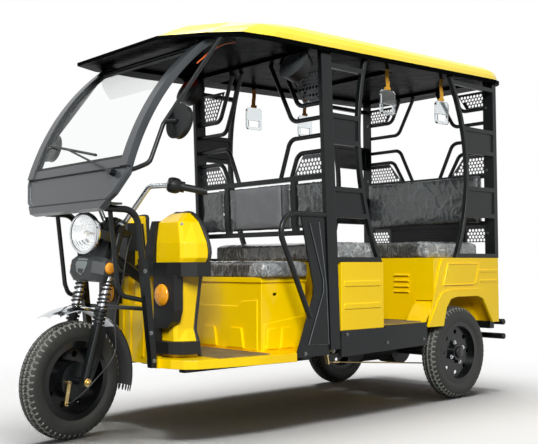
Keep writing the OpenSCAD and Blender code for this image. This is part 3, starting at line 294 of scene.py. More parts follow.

# %% [markdown]
# ## Creases in the film
# Pale lines are painted along the folds of the film: painted highlights where sharp folds would catch the light,
# and partly the whitening that folded film shows. A cell pattern gives straight folds that meet in corners, as in
# crumpled film, and its distance to the edge marks the folds. Noise bends them a little and keeps them in patches.

# %% Creases with painted highlights
def painted_crease_highlights(material, cell_mm, stretch, colour, strength, patch_mm):
    """Paints pale highlight lines on the edges of crumpled cells, partly the whitening of folded film, in patches of a
    given size.
    """
    tree = material.node_tree
    shader = tree.nodes["Principled BSDF"]
    place = add(tree, "ShaderNodeTexCoord").outputs["Object"]
    stir = add(tree, "ShaderNodeTexNoise", {"Vector": place, "Scale": 400 / cell_mm, "Detail": 3.0}).outputs["Color"]
    moved = add(tree, "ShaderNodeVectorMath", {0: stir, 1: (cell_mm / 900,) * 3, 2: place}, operation="MULTIPLY_ADD")
    slant = add(tree, "ShaderNodeMapping", {"Vector": moved.outputs["Vector"], "Rotation": (0.5, 0.7, 0.4),
                                            "Scale": stretch})
    folds = add(tree, "ShaderNodeTexVoronoi", {"Vector": slant.outputs["Vector"], "Scale": 1000 / cell_mm},
                feature="DISTANCE_TO_EDGE").outputs["Distance"]
    fold_highlight = add(tree, "ShaderNodeMapRange", {"Value": folds, "From Max": 0.09, "To Min": 1.0, "To Max": 0.0})
    cloud = add(tree, "ShaderNodeTexNoise", {"Vector": place, "Scale": 1000 / patch_mm, "Detail": 2.0}).outputs["Fac"]
    area = add(tree, "ShaderNodeMapRange", {"Value": cloud, "From Min": 0.42, "From Max": 0.62, "To Max": strength})
    share = add(tree, "ShaderNodeMath", {0: fold_highlight.outputs["Result"], 1: area.outputs["Result"]}, operation="MULTIPLY")
    under = shader.inputs["Base Color"].links[0].from_socket
    mixed = add(tree, "ShaderNodeMixRGB", {"Fac": share.outputs["Value"], "Color1": under, "Color2": linear(colour)})
    tree.links.new(mixed.outputs["Color"], shader.inputs["Base Color"])


# Painted highlights along the folds, on the seats, the backrests and the loose film.
painted_crease_highlights(film_vinyl, 30, (0.6, 2.2, 0.5), "#b4b6b2", 0.5, 60)
painted_crease_highlights(side_vinyl, 120, (0.6, 2.0, 1.0), "#8d9292", 0.22, 150)
painted_crease_highlights(loose_film_reflection_grey, 44, (0.7, 1.6, 0.6), "#e6e9e9", 0.7, 60)
print("mixed", len(bpy.data.materials), "materials in all")

# %% [markdown]
# ## Dressing the solids
# Each solid gets one finish, listed by finish so that a mistake shows at a glance. The seats, straps, lenses, tyres and
# springs are remade later, and their solids get a finish too, so that none is left without one.

# %% Finish every solid
COATS = [
    (yellow_enamel, "floor_pan front_apron leg_shields driver_seat_box front_bench_base rear_bench_base "
                    "quarter_panels"),
    (roof_yellow_painted_pale, "roof_shell"),
    (black_powder, "chassis_frame crash_guard mirrors b_pillars c_pillars cabin_rails side_steps side_guards "
                   "rear_bumper steering_stem fork_legs leaf_springs wiper"),
    (black_gloss, "front_wheel rear_left_wheel rear_right_wheel headlamp"),
    (grey_enamel, "windscreen_frame cowl_panel mesh_panels"),
    (liner_black, "roof_liner"),
    (moulded_black, "shield_trim mud_flap rear_vent roof_speakers grips"),
    (moulded_grey, "lamp_fascia"),
    (cast_metal, "rear_axle"),
    (bright_steel, "fork_tubes handlebar"),
    (chrome, "front_mudguard"),
    (zinc, "brake_gear"),
    (edge_rubber, "brake_cable"),
    (orange_pvc, "roof_lead"),
    (battery_case, "battery_pack"),
    (screen_glass, "windscreen_glass"),
    (lamp_glass, "headlamp_lens"),
    (acrylic, "grab_handles"),
    (amber, "signal_lamps fascia_signals"),
    (tyre_rubber, "front_tyre rear_left_tyre rear_right_tyre"),
    (film_vinyl, "driver_cushion front_bench_cushion rear_bench_cushion rear_backrest backrest_pads"),
    (spring_steel, "fork_springs"),
    (yellow_webbing, "grab_straps"),
]
for coat, names in COATS:
    for name in names.split():
        solid = frame["nodes"][name]
        solid.data.materials.clear()
        solid.data.materials.append(coat)
print("dressed", sum(len(names.split()) for _, names in COATS), "solids")

# %% [markdown]
# ## Rounded edges
# A solid has perfectly sharp edges, which no folded sheet and no moulding has, and a sharp edge catches no light. A
# bevel modifier rounds them by a real radius, larger on mouldings. The import splits vertices at hard edges, and a
# bevel needs them joined, so a weld comes first.

# %% Bevels
FOLDED = ("driver_seat_box", "front_bench_base", "quarter_panels", "floor_pan", "side_steps", "side_guards",
          "b_pillars", "c_pillars", "cowl_panel", "shield_trim", "roof_liner", "grab_handles", "leg_shields",
          "lamp_fascia")
BEND_RADIUS = 0.0025
ROUNDER = {"leg_shields": 0.009, "shield_trim": 0.007, "lamp_fascia": 0.009, "cowl_panel": 0.005,
           "quarter_panels": 0.003}
for name in FOLDED:
    solid = frame["nodes"][name]
    weld = solid.modifiers.new("weld", "WELD")
    weld.merge_threshold = 0.00002
    bevel = solid.modifiers.new("folded_edge", "BEVEL")
    bevel.width = ROUNDER.get(name, BEND_RADIUS)
    bevel.segments = 3
    bevel.limit_method = "ANGLE"
    bevel.angle_limit = math.radians(12 if name in ROUNDER else 40)
    solid.modifiers.new("even_shading", "WEIGHTED_NORMAL").keep_sharp = True
print("rounded the edges of", len(FOLDED), "solids")

# %% [markdown]
# ## Making new meshes
# Most added pieces are one of three things: a skin through rings, a section carried along a path, or a profile turned
# about an axis. These three functions return points and faces and make no object yet.

# %% Skins, sweeps and turned profiles
def skin(rings, around=False):
    """Points and faces of a skin through rings of equal count; around joins the last ring to the first."""
    n = len(rings[0])
    points = [p for ring in rings for p in ring]
    spans = [(i, (i + 1) % len(rings)) for i in range(len(rings) if around else len(rings) - 1)]
    faces = [(a * n + j, a * n + (j + 1) % n, b * n + (j + 1) % n, b * n + j) for a, b in spans for j in range(n)]
    if not around:
        faces += [tuple(range(n))[::-1], tuple((len(rings) - 1) * n + j for j in range(n))]
    return points, faces


def sweep(path, section, up=(0, 0, 1), around=False):
    """Carries a flat section of (side, up) millimetres along scene points."""
    rings = []
    for i, p in enumerate(path):
        after = path[(i + 1) % len(path)] if around or i + 1 < len(path) else p
        before = path[i - 1] if around or i else p
        along = (after - before).normalized()
        side = along.cross(Vector(up)).normalized()
        rise = side.cross(along)
        rings.append([p + side * (s[0] / 1000) + rise * (s[1] / 1000) for s in section])
    return skin(rings, around=around)


def turned(profile, foot, axis, sides=32, ring=False):
    """Turns a profile of (radius, height) millimetres about an axis from its foot; a ring closes on itself."""
    axis = Vector(axis).normalized()
    across = axis.orthogonal().normalized()
    third = axis.cross(across)
    turn = [2 * math.pi * (k + 0.5) / sides for k in range(sides)]
    return skin([[foot + axis * (h / 1000) + (across * math.cos(a) + third * math.sin(a)) * (r / 1000)
                  for a in turn] for r, h in profile], around=ring)


print("a bar of 10 sides has", len(skin([[Vector()] * 10] * 2)[1]), "faces")

# %% [markdown]
# ## From points to a piece
# Many small parts, such as bolts, are joined into one piece before it becomes an object. The object is shaded smooth,
# with sharp edges where the faces turn by more than an angle, and rides on the body that carries it.

# %% Joining and riding
def joined(parts):
    """One list of points and one of faces from several."""
    points, faces = [], []
    for some_points, some_faces in parts:
        faces += [tuple(i + len(points) for i in face) for face in some_faces]
        points += list(some_points)
    return points, faces


def round_bar(radius, sides=10):
    """A circular section for sweep."""
    turns = [2 * math.pi * k / sides for k in range(sides)]
    return [(radius * math.cos(a), radius * math.sin(a)) for a in turns]


def piece(name, shape, material, body="vehicle_body", crease=35):
    """Turns points and faces into an object that rides on a body."""
    mesh = bpy.data.meshes.new(name)
    mesh.from_pydata([tuple(p) for p in shape[0]], [], shape[1])
    work = bmesh.new()
    work.from_mesh(mesh)
    bmesh.ops.recalc_face_normals(work, faces=work.faces)
    work.to_mesh(mesh)
    work.free()
    mesh.shade_smooth()
    mesh.set_sharp_from_angle(angle=math.radians(crease))
    mesh.materials.append(material)
    obj = bpy.data.objects.new(name, mesh)
    bpy.context.scene.collection.objects.link(obj)
    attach(obj, body)
    return obj


print("a round bar has", len(round_bar(1.0)), "sides")

# %% [markdown]
# ## Road tyres
# A tyre is a ring of rubber with a tread cut into its crown: four zigzag grooves, slots across the blocks and thin
# ribs on the sidewalls. A bump texture would be lost at the edge of the wheel, so the tread is real relief and shows
# in the outline. The first step is the depth of the tread at any place.

# %% Tread pattern
PITCHES, STEPS = 54, 12
GROOVE_MM, ZIGZAG_MM, GROOVE_HALF, GROOVES_AT = 7.0, 3.2, 2.6, (-31, -11, 11, 31)
BLOCK_MM = 21


def groove_depth(turn, across):
    """Depth of the tread at a place: turn counts pitches round the tyre, across is in millimetres."""
    part = turn % 1.0
    zigzag = ZIGZAG_MM * (4 * abs(part - 0.5) - 1)
    if any(abs(across - middle - zigzag) < GROOVE_HALF for middle in GROOVES_AT):
        return GROOVE_MM
    row = round(across / BLOCK_MM)
    slot_at = (part + 0.5 * (row % 2) + (0.004 * across)) % 1.0
    return GROOVE_MM if abs(row) > 0 and slot_at < (0.3 if abs(row) > 1 else 0.16) else 0.0


print("the tread has", PITCHES, "pitches and is", GROOVE_MM, "mm deep")

# %% [markdown]
# ## Tyres
# One cross section is measured as a rounded box, then carried round the wheel in small steps, and at each point the
# depth of the tread is taken away. Faces at the bottom of a groove get a second, dusty material.

# %% Tyres with tread
TYRE_MID, TYRE_R, BEAD_R, BEAD_HALF = 202.5, 47.5, 153.5, 33.0
FLANK_R, FLANK_HALF, SQUARENESS = 168, 37.0, 0.86
TREAD_FROM, RIB_MM = 226, 0.9


def tyre(name, node, body, wheel_joint):
    """A tyre with tread about a wheel joint, with dust in its grooves, in place of a solid."""
    centre, axle = Vector(joints[wheel_joint]["pos_m"]), Vector(joints[wheel_joint]["axis"]).normalized()
    start = axle.orthogonal().normalized()
    section = [(BEAD_R, -BEAD_HALF), (FLANK_R, -FLANK_HALF)]
    for k in range(45):
        phi = math.radians(-112 + 224 * k / 44)
        section.append((TYRE_MID + TYRE_R * math.copysign(abs(math.cos(phi)) ** SQUARENESS, math.cos(phi)),
                        TYRE_R * math.copysign(abs(math.sin(phi)) ** SQUARENESS, math.sin(phi))))
    section += [(FLANK_R, FLANK_HALF), (BEAD_R, BEAD_HALF)]
    rings = []
    for i in range(PITCHES * STEPS):
        turn = i / STEPS
        angle = 2 * math.pi * turn / PITCHES
        out = math.cos(angle) * start + math.sin(angle) * axle.cross(start)
        ring = []
        for radius, across in section:
            depth = groove_depth(turn, across) if radius > TREAD_FROM else 0.0
            rib = RIB_MM if 196 < radius < 199 or 212 < radius < 214 else 0.0
            ring.append(centre + out * ((radius - depth) / 1000)
                        + axle * ((across + math.copysign(rib, across)) / 1000))
        rings.append(ring)
    made = piece(name, skin(rings, around=True), tyre_rubber, body, crease=28)
    made.data.materials.append(groove_dust)
    for face in made.data.polygons:
        middle = face.center - centre
        across = middle.dot(axle)
        radius = (middle - axle * across).length * 1000
        crown = TYRE_MID + TYRE_R * max(0.0, 1 - (abs(across) / 0.0475) ** 2.33) ** 0.43
        face.material_index = 1 if radius > 218 and radius < crown - 2.2 else 0
    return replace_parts(made, node)


tyres = [tyre("front_road_tyre", "front_tyre", "front_wheel_set", "front_wheel_spin"),
         tyre("rear_left_road_tyre", "rear_left_tyre", "rear_left_wheel_set", "rear_left_wheel_spin"),
         tyre("rear_right_road_tyre", "rear_right_tyre", "rear_right_wheel_set", "rear_right_wheel_spin")]
print("cut", len(tyres), "tyres with", len(tyres[0].data.polygons), "faces each")

# %% [markdown]
# ## Fork springs
# Each bright fork tube carries an open coil spring of wire about 8 mm thick. A helix is a circle that climbs, and
# a round section carried along it makes the wire. The ends are closed and ground flat on the real spring, so the climb
# changes a little along it.

# %% Coil springs
FORK_OFFSET, FORK_HALF = 35, 85
SPRING_LOW, SPRING_HIGH, COILS = 311.5, 454.5, 7
COIL_R, WIRE_R = 22, 4.2
springs = []
for side in (-1, 1):
    path = []
    for k in range(COILS * 24 + 1):
        share = k / (COILS * 24)
        climb = share + 0.045 * math.sin(4 * math.pi * share) / 2
        angle = 2 * math.pi * COILS * share
        path.append(on_fork(FORK_OFFSET + COIL_R * math.cos(angle), side * FORK_HALF + COIL_R * math.sin(angle),
                            SPRING_LOW + 4.5 + (SPRING_HIGH - SPRING_LOW - 9) * climb))
    springs.append(sweep(path, round_bar(WIRE_R), up=fork_up))
coils = piece("fork_coil_springs", joined(springs), spring_steel, "steering")
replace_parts(coils, "fork_springs")
print("wound two springs of", COILS, "coils")

# %% [markdown]
# ## Headlamp
# Behind the clear lens sits a metallised reflector and a bulb, and a plated rim clamps the lens. The reflector is a
# paraboloid with facets, like the moulded one: a turned profile whose height is stepped a little from facet to facet,
# closed behind by the same curve. The rim is turned as a ring, so that nothing closes it in front of the reflector.

# %% Headlamp inside and rim
LAMP_AHEAD, LAMP_UP, LAMP_DIP, FACETS = 93, 630, math.radians(15), 12
BULB = [(6, 20), (6, 34), (10, 40), (11, 47), (8, 53), (2, 56)]
RIM = [(86.6, 46), (91, 47), (93, 52), (93, 62), (90, 69), (85, 71.5), (79, 71.2), (79, 69.6), (84.6, 67.6), (86.6, 66)]
lamp_axis = FORK.to_3x3() @ Vector((math.cos(LAMP_DIP), 0, -math.sin(LAMP_DIP)))
lamp_foot = on_fork(LAMP_AHEAD, 0, LAMP_UP)
bowl = [(4 + 74 * math.sqrt(k / FACETS), 19 + 41 * k / FACETS + (2.2 if k % 2 else 0)) for k in range(FACETS + 1)]
back = [(radius + 0.5, height - 4) for radius, height in reversed(bowl)]
inside = piece("headlamp_reflector", turned(bowl + [(78.4, 61.4)] + back, lamp_foot, lamp_axis, 28), reflector,
               "steering", crease=12)
piece("headlamp_bulb", turned(BULB, lamp_foot, lamp_axis, 20), frosted, "steering")
piece("headlamp_rim", turned(RIM, lamp_foot, lamp_axis, 48, True), chrome, "steering")
print("fitted the lamp with", len(inside.data.polygons), "reflector facets")

# %% [markdown]
# ## Amber lenses
# The turn signals are pressed lenses with fine flutes that spread the light. A domed profile is turned, and points are
# sunk a little in a chequered order, so each lens is a small field of prisms rather than a smooth cap.

# %% Signal lenses
LENS_SIDES, LENS_ROWS, PRISM_MM = 48, 14, 1.4


def fluted_lens(foot, axis, radius, height):
    """Points and faces of a domed lens with prisms."""
    axis = Vector(axis).normalized()
    across = axis.cross(Vector((0, 0, 1))).normalized()
    rise = across.cross(axis)
    turns = [2 * math.pi * k / LENS_SIDES for k in range(LENS_SIDES)]
    rings = [[foot + (across * math.cos(a) + rise * math.sin(a)) * (radius / 1000) for a in turns]]
    for row in range(1, LENS_ROWS + 1):
        lean = math.radians(6 * row)
        reach = radius * math.cos(lean)
        rings.append([])
        for k, a in enumerate(turns):
            sunk = PRISM_MM if (k % 4 < 2) == (row % 4 < 2) else 0.0
            rings[-1].append(foot + (across * math.cos(a) + rise * math.sin(a)) * (reach / 1000)
                             + axis * ((3 + (height - 3) * math.sin(lean) - sunk) / 1000))
    return skin(rings)


shield_lenses = [fluted_lens(at(1803.4, side * 214, 604), (1, 0, 0), 48, 19) for side in (-1, 1)]
signals = piece("shield_signal_lenses", joined(shield_lenses), amber, crease=20)
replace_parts(signals, "signal_lamps")
turn_side = FORK.to_3x3() @ Vector((0, 1, 0))
fork_lenses = [fluted_lens(on_fork(66, side * 112.4, 484), turn_side * side, 25, 13) for side in (-1, 1)]
fascia_lenses = piece("fascia_signal_lenses", joined(fork_lenses), amber, "steering", crease=20)
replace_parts(fascia_lenses, "fascia_signals")
print("pressed", len(shield_lenses + fork_lenses), "lenses")

# %% [markdown]
# ## Rubber edging
# The rear rims of the leg shields are cut sheet, so a black rubber channel is pushed over them. Each row of the rim is
# a station, its inner and outer places across, and a height, and a smooth curve through the rows carries a rounded
# section.

# %% Edging on the leg shields
SHIELD_RIM = [(1675, 130, 312, 341), (1668, 130, 290, 405), (1664, 128, 264, 455), (1662, 120, 278, 560),
              (1660, 110, 302, 690), (1658, 105, 358, 765), (1658, 105, 352, 830), (1660, 110, 298, 922),
              (1662, 113, 235, 966)]
CHANNEL = [(-6, -7), (-3, -9), (3, -9), (6, -7), (6, 5), (3, 8), (-3, 8), (-6, 5)]


def eased(points, steps=5):
    """A smooth curve through scene points."""
    line = []
    for i in range(len(points) - 1):
        a, b, c, d = (points[min(max(k, 0), len(points) - 1)] for k in (i - 1, i, i + 1, i + 2))
        for s in range(steps):
            t = s / steps
            line.append(0.5 * (2 * b + (c - a) * t + (2 * a - 5 * b + 4 * c - d) * t * t
                               + (3 * b - a - 3 * c + d) * t * t * t))
    return line + [points[-1]]


edges = []
for side in (-1, 1):
    rim_line = [at(x - 2, side * outer, z) for x, inner, outer, z in SHIELD_RIM]
    rim_line += [at(1662, side * 175, 967)] + [at(x - 2, side * inner, z) for x, inner, outer, z in SHIELD_RIM[::-1]]
    edges.append(sweep(eased(rim_line, 3), CHANNEL, up=(1, 0, 0)))
piece("leg_shield_edging", joined(edges), edge_rubber)
print("edged", len(edges), "leg shields")

# %% [markdown]
# ## Screen seal
# The screen is a sheet of glass bent to one arc, held in its frame by a rubber section. A place on the glass is an
# angle up that arc and a distance across, so the seal is a flat section carried along two arcs and two straight rows.

# %% Windscreen seal
GLASS_R, GLASS_HALF, GLASS_FROM, GLASS_TO = 1121, 365, 19.1, 50.4
GLASS_X = 2085 - GLASS_R * math.cos(math.radians(19.6))
GLASS_Z = 1174 - GLASS_R * math.sin(math.radians(19.6))


def on_glass(across, angle, out):
    """Scene point over the screen: across, angle up the arc in degrees, distance out."""
    turn = math.radians(angle)
    return at(GLASS_X + (GLASS_R + out) * math.cos(turn), across, GLASS_Z + (GLASS_R + out) * math.sin(turn))


SEAL = [(-7, 0.4), (7, 0.4), (7, 2), (4, 4.5), (-4, 4.5), (-7, 2)]
seal_parts = []
for side in (-1, 1):
    arc = [on_glass(side * (GLASS_HALF - 5), GLASS_FROM + (GLASS_TO - GLASS_FROM) * k / 24, 5) for k in range(25)]
    seal_parts.append(sweep(arc, SEAL, up=(1, 0, 0.7)))
for angle in (GLASS_FROM + 0.35, GLASS_TO - 0.35):
    row = [on_glass(-GLASS_HALF + 12 + (2 * GLASS_HALF - 24) * k / 12, angle, 5) for k in range(13)]
    turn = math.radians(angle)
    seal_parts.append(sweep(row, SEAL, up=(math.cos(turn), 0, math.sin(turn))))
piece("windscreen_seal", joined(seal_parts), edge_rubber)
print("sealed the screen with", len(seal_parts), "lengths")

# %% [markdown]
# ## Seats and backrests
# The cushions are foam blocks in black leathercloth, still wrapped in clear film, and foam swells between its edges.
# That could be modelled by hand, but cloth that is blown up with a little air pressure finds the shape by itself. A
# cap on how far each point may move keeps the pad near its real size.

# %% Swelling a pad
SWELL_STEPS = 20


def inflate(pad, pressure, cap):
    """Blows a closed mesh up as cloth and keeps every point within a cap of its start."""
    start = [v.co.copy() for v in pad.data.vertices]
    cloth = pad.modifiers.new("stuffing", "CLOTH")
    cloth.settings.quality = 4
    cloth.settings.mass = 0.3
    cloth.settings.use_pressure = True
    cloth.settings.uniform_pressure_force = pressure
    cloth.settings.effector_weights.gravity = 0
    cloth.point_cache.frame_start = 1
    cloth.point_cache.frame_end = SWELL_STEPS
    for step in range(1, SWELL_STEPS + 1):
        bpy.context.scene.frame_set(step)
    swollen = pad.evaluated_get(bpy.context.evaluated_depsgraph_get()).data
    ends = [v.co.copy() for v in swollen.vertices]
    pad.modifiers.remove(cloth)
    bpy.context.scene.frame_set(1)
    for vertex, a, b in zip(pad.data.vertices, start, ends):
        move = b - a
        vertex.co = a + (move * (cap / move.length) if move.length > cap else move)


def settled(pad, kind, **settings):
    """Applies one modifier to a pad's mesh."""
    change = pad.modifiers.new("change", kind)
    for name, value in settings.items():
        setattr(change, name, value)
    made = bpy.data.meshes.new_from_object(pad.evaluated_get(bpy.context.evaluated_depsgraph_get()))
    pad.modifiers.clear()
    pad.data = made


print("a pad swells in", SWELL_STEPS, "steps")

# %% [markdown]
# ## One stuffed pad
# Each pad starts as a box slightly too small, is remeshed into even cells and is swollen. The side that rests on the
# seat is then laid flat again. The creases are pressed in last by noise, because they are finer than the cells.

# %% A pad from its box
CREASE_SIZE = (0.042, 0.036, 0.06)


def stuffed(name, low, high, stand, material, node, rest, crease_mm=2.0, cell=0.009, cap=0.009):
    """A stuffed pad in the box from low to high, in millimetres of the frame `stand`; rest names the flat side."""
    inset = Vector((3.5, 3.5, 3.5))
    flat = {"below": (2, low[2]), "behind": (0, low[0])}[rest]
    inset[flat[0]] = 2.5
    centre, half = (Vector(low) + Vector(high)) / 2, (Vector(high) - Vector(low)) / 2 - inset
    centre[flat[0]] -= inset[flat[0]] - 0.5
    corners = [(centre + Vector((x * half.x, y * half.y, z * half.z))) / 1000
               for x in (-1, 1) for y in (-1, 1) for z in (-1, 1)]
    sides = [(0, 1, 3, 2), (4, 6, 7, 5), (0, 4, 5, 1), (2, 3, 7, 6), (0, 2, 6, 4), (1, 5, 7, 3)]
    pad = piece(name, (corners, sides), material, crease=60)
    settled(pad, "BEVEL", width=0.012, segments=3)
    settled(pad, "REMESH", mode="VOXEL", voxel_size=cell)
    inflate(pad, 4.0, cap)
    settled(pad, "SUBSURF", levels=1)
    base = flat[1] / 1000 + 0.0006
    pad.data.update()
    moves = []
    for vertex in pad.data.vertices:
        co, along = vertex.co, vertex.normal
        spot = Vector([c / size for c, size in zip(co, CREASE_SIZE)])
        ridge = (1 - abs(noise.noise(spot + Vector((7, 3, 1))))) ** 6 - 0.35
        fold = (1 - abs(noise.noise(spot * 0.4 + Vector((co.z * 9, 9, co.y * 4))))) ** 9
        calm = 0.45 + 0.55 * noise.noise(co / 0.16)
        moves.append(co + along * (crease_mm / 1000 * (ridge * calm + fold - 0.3)))
    for vertex, co in zip(pad.data.vertices, moves):
        vertex.co = co
        if co[flat[0]] < base + 0.004:
            vertex.co[flat[0]] = base
    pad.data.transform(stand)
    pad.data.shade_smooth()
    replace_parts(pad, *node.split())
    return pad


print("creases lie about", [round(size * 1000) for size in CREASE_SIZE], "mm apart")

# %% [markdown]
# ## Seats and backrests
# Three seats lie level. The rear backrest stands against its rails, and the front one is a board with a smooth grey pad
# in the middle and a pad at each side, leaning with the middle posts. Each box is the one of its solid, in millimetres.

# %% Stuffed seats and backrests
LEVEL = Matrix.Translation((rear_axle.x, 0, 0))
MIDDLE_POSTS = Matrix.Translation(at(1009, 0, 335)) @ Matrix.Rotation(math.radians(2.2), 4, "Y")
SEATS = [("driver_seat_cushion", (1082, -410, 676.3), (1385, 410, 747), "driver_cushion"),
         ("front_bench_seat", (652, -466, 745.3), (972, 466, 840), "front_bench_cushion"),
         ("rear_bench_seat", (-230, -466, 768.3), (262, 466, 854), "rear_bench_cushion")]
pads = [stuffed(name, low, high, LEVEL, film_vinyl, node, "below", 2.2) for name, low, high, node in SEATS]
pads.append(stuffed("rear_back_cushion", (-337.5, -431, 964), (-280, 431, 1258), LEVEL, side_vinyl,
                    "rear_backrest", "behind", 2.5))
pads.append(stuffed("front_back_centre", (14, -186, 573), (30, 186, 802), MIDDLE_POSTS, pad_vinyl,
                    "backrest_pads", "behind", 0.5, 0.007, 0.005))
for side, name in ((1, "left"), (-1, "right")):
    across = sorted((side * 272.3, side * 474.4))
    pads.append(stuffed("front_back_side_" + name, (-10, across[0], 567.3), (19, across[1], 807.7), MIDDLE_POSTS,
                        side_vinyl, "backrest_pads", "behind", 3.0, 0.007, 0.006))
pads.append(stuffed("front_back_board", (-10, -239.7, 567.3), (17, 239.7, 807.7), MIDDLE_POSTS, side_vinyl,
                    "backrest_pads", "behind", 2.0, 0.007, 0.004))
print("stuffed", len(pads), "pads,", sum(len(pad.data.polygons) for pad in pads), "faces")

# %% [markdown]
# ## Loose film at the ends of the seats
# Near the left end of each seat the film stands off the cloth, and the pale grey of its reflection there is painted:
# a second material on the faces past a line, and noise makes the line ragged.

# %% Loose film with a painted reflection
FILM_FROM = (0.30, 0.37, 0.40)
for pad, reach in zip(pads, FILM_FROM):
    pad.data.materials.append(loose_film_reflection_grey)
    for face in pad.data.polygons:
        edge = reach + 0.05 * noise.noise(face.center / 0.05) + 0.03 * noise.noise(face.center / 0.02)
        face.material_index = 1 if face.center.y > edge else 0
print("left the film loose on", len(FILM_FROM), "seats")

# %% [markdown]
# ## Grab straps
# Passengers hold on to clear handles that hang from webbing. A strap is a ribbon with a slight wave, so a flat section
# is carried along a bent line from the handle up to the sloping roof, with a sewn block at its foot.

# %% Grab straps
RIBBON = [(-14, -0.8), (14, -0.8), (14, 0.8), (-14, 0.8)]
SEWN_BLOCK = [(-17, -7), (17, -7), (17, 7), (-17, 7)]
STRAP_ACROSS, STRAP_FOOT, ROOF_UNDER, ROOF_FALL = 421.5, 1641, 1769, math.tan(math.radians(1.77))
for name, side, stations, cloth in (("left_grab_straps", 1, (520, 54), yellow_webbing),
                                    ("right_grab_straps", -1, (707, 291), orange_webbing)):
    ribbons = []
    for station in stations:
        rise = ROOF_UNDER - station * ROOF_FALL - 1 - STRAP_FOOT
        line = [at(station, side * (STRAP_ACROSS + 3 * math.sin(k * 0.55)), STRAP_FOOT + rise * k / 12)
                for k in range(13)]
        ribbons.append(sweep(line, RIBBON, up=(0, 1, 0)))
        clamp = [at(station, side * (STRAP_ACROSS + across), 1650) for across in (-7, 7)]
        ribbons.append(sweep(clamp, SEWN_BLOCK))
    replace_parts(piece(name, joined(ribbons), cloth), "grab_straps")
    print("hung", name)

# %% [markdown]
# ## Mirrors
# Each mirror is a slightly domed silvered glass inside a rolled black bezel, on the side that faces the driver. Both
# are round, so both are profiles turned about the axis of the mirror's head.

# %% Mirror glass and bezels
MIRROR_TURN = math.radians(-100)
MIRROR_DOME = [(61, 26.4), (60, 27.4), (44, 28.6), (22, 29.3), (2, 29.6)]
MIRROR_BEZEL = [(66.2, 20), (69.5, 22), (69.5, 28), (66, 30.5), (61.5, 30), (61.5, 27.8)]
mirror_axis = Vector((math.sin(MIRROR_TURN), 0, math.cos(MIRROR_TURN)))
heads = [at(1950, side * 522, 1312) for side in (-1, 1)]
piece("mirror_glass", joined([turned(MIRROR_DOME, head, mirror_axis, 40) for head in heads]), mirror_silver)
piece("mirror_bezels", joined([turned(MIRROR_BEZEL, head, mirror_axis, 40) for head in heads]), moulded_black)
print("silvered", len(heads), "mirrors")

# %% [markdown]
# ## Floor mats
# The driver's floor and the passenger floor carry ribbed rubber mats. A mat is a row of cross sections along the floor
# whose height steps up and down, so its ribs are real relief.

# %% Mats
def mat(front, rear, halves, level, pitch=14):
    """A ribbed mat between two stations; halves are its half widths at the front and the rear."""
    rings = []
    count = int((front - rear) / pitch)
    for k in range(count * 4 + 1):
        share = k / (count * 4)
        station, half = front + (rear - front) * share, halves[0] + (halves[1] - halves[0]) * share
        lift = (2.5, 4.8, 4.8, 2.5)[k % 4]
        rings.append([at(station, -half, level), at(station, half, level), at(station, half - 2, level + lift),
                      at(station, -half + 2, level + lift)])
    return skin(rings)


piece("floor_mats", joined([mat(1652, 1384, (432, 452), 335.3), mat(646, 318, (470, 470), 430.3)]), mat_rubber,
      crease=25)
print("laid 2 mats")

# %% [markdown]
# ## Flap comb and plate
# The front flap ends in a comb of teeth that follow its crowned section, and a bright plate fixes the flap to the
# mudguard. The guard's section is an arc that is swung about the axle, so `on_guard` places a point on that surface.

# %% Flap
GUARD_R, CROWN_R = 190, 121.5
TOOTH = [(175.1, 5.2), (177.2, 5.0), (178.8, 3.6), (180.0, 1.6)]


def on_guard(angle, across, out):
    """Scene point on the crowned mudguard: angle about the front axle in the fork's frame, across, and out."""
    radius = GUARD_R + math.sqrt(CROWN_R ** 2 - across ** 2) + out
    turn = math.radians(angle)
    return on_fork(FORK_OFFSET + radius * math.cos(turn), across, radius * math.sin(turn))


teeth = []
for across in range(-50, 51, 10):
    if across % 20:
        teeth.append(skin([[on_guard(a, across - w, -1.5), on_guard(a, across + w, -1.5),
                            on_guard(a, across + w, 1.5), on_guard(a, across - w, 1.5)] for a, w in TOOTH]))
piece("flap_comb", joined(teeth), moulded_black, "steering")
plate_section = [(y, 1.8) for y in range(-54, 55, 12)] + [(y, 3.4) for y in range(54, -55, -12)]
plate = [[on_guard(a, y, out) for y, out in plate_section] for a in range(118, 141, 3)]
piece("flap_plate", skin(plate), bright_steel, "steering")
print("cut", len(teeth), "teeth")

# %% [markdown]
# ## Bolts
# Bolts are small, but their repeated highlights are what makes a bolted vehicle believable. A bolt is a washer and a
# hexagon with a chamfered top and a recessed centre, all turned about one axis, and the group is joined.

# %% Body bolts
def bolt(place, axis, across_flats=13):
    """Points and faces of a washer and a hexagon head."""
    r = across_flats / 2 / math.cos(math.pi / 6)
    return joined([turned([(r * 1.45, 0.3), (r * 1.45, 1.9), (r * 0.9, 2.0)], place, axis, 20),
                   turned([(r, 1.9), (r, 6.6), (r * 0.86, 8.2), (r * 0.5, 8.2), (r * 0.42, 7.0)], place, axis, 6)])


body_bolts = []
for side in (-1, 1):
    out = (0, side, 0)
    body_bolts += [bolt(at(x, side * 492, z), out, 11) for x, z in ((1205, 328), (1020, 328))]
    body_bolts += [bolt(at(x, side * 503, z), out, 9) for x, z in ((936, 401), (350, 345), (640, 345))]
    body_bolts += [bolt(at(-332, side * 455, z), (1, 0, 0), 9) for z in (1647, 1281, 914)]
    body_bolts += [bolt(at(x, side * 266, z), out, 11) for x, z in ((1927, 709), (1896, 448), (1880, 330))]
    body_bolts.append(bolt(at(1753, side * 290, 912), (0.72, side * 0.62, 0.32), 8))
piece("body_bolts", joined(body_bolts), dull_zinc)
print("fitted", len(body_bolts), "body bolts")

# %% [markdown]
# ## Wheel nuts and hub caps
# Four nuts hold each rear wheel and a domed cap closes its hub. They turn with the wheel, so they ride on the wheel set
# and not on the body.

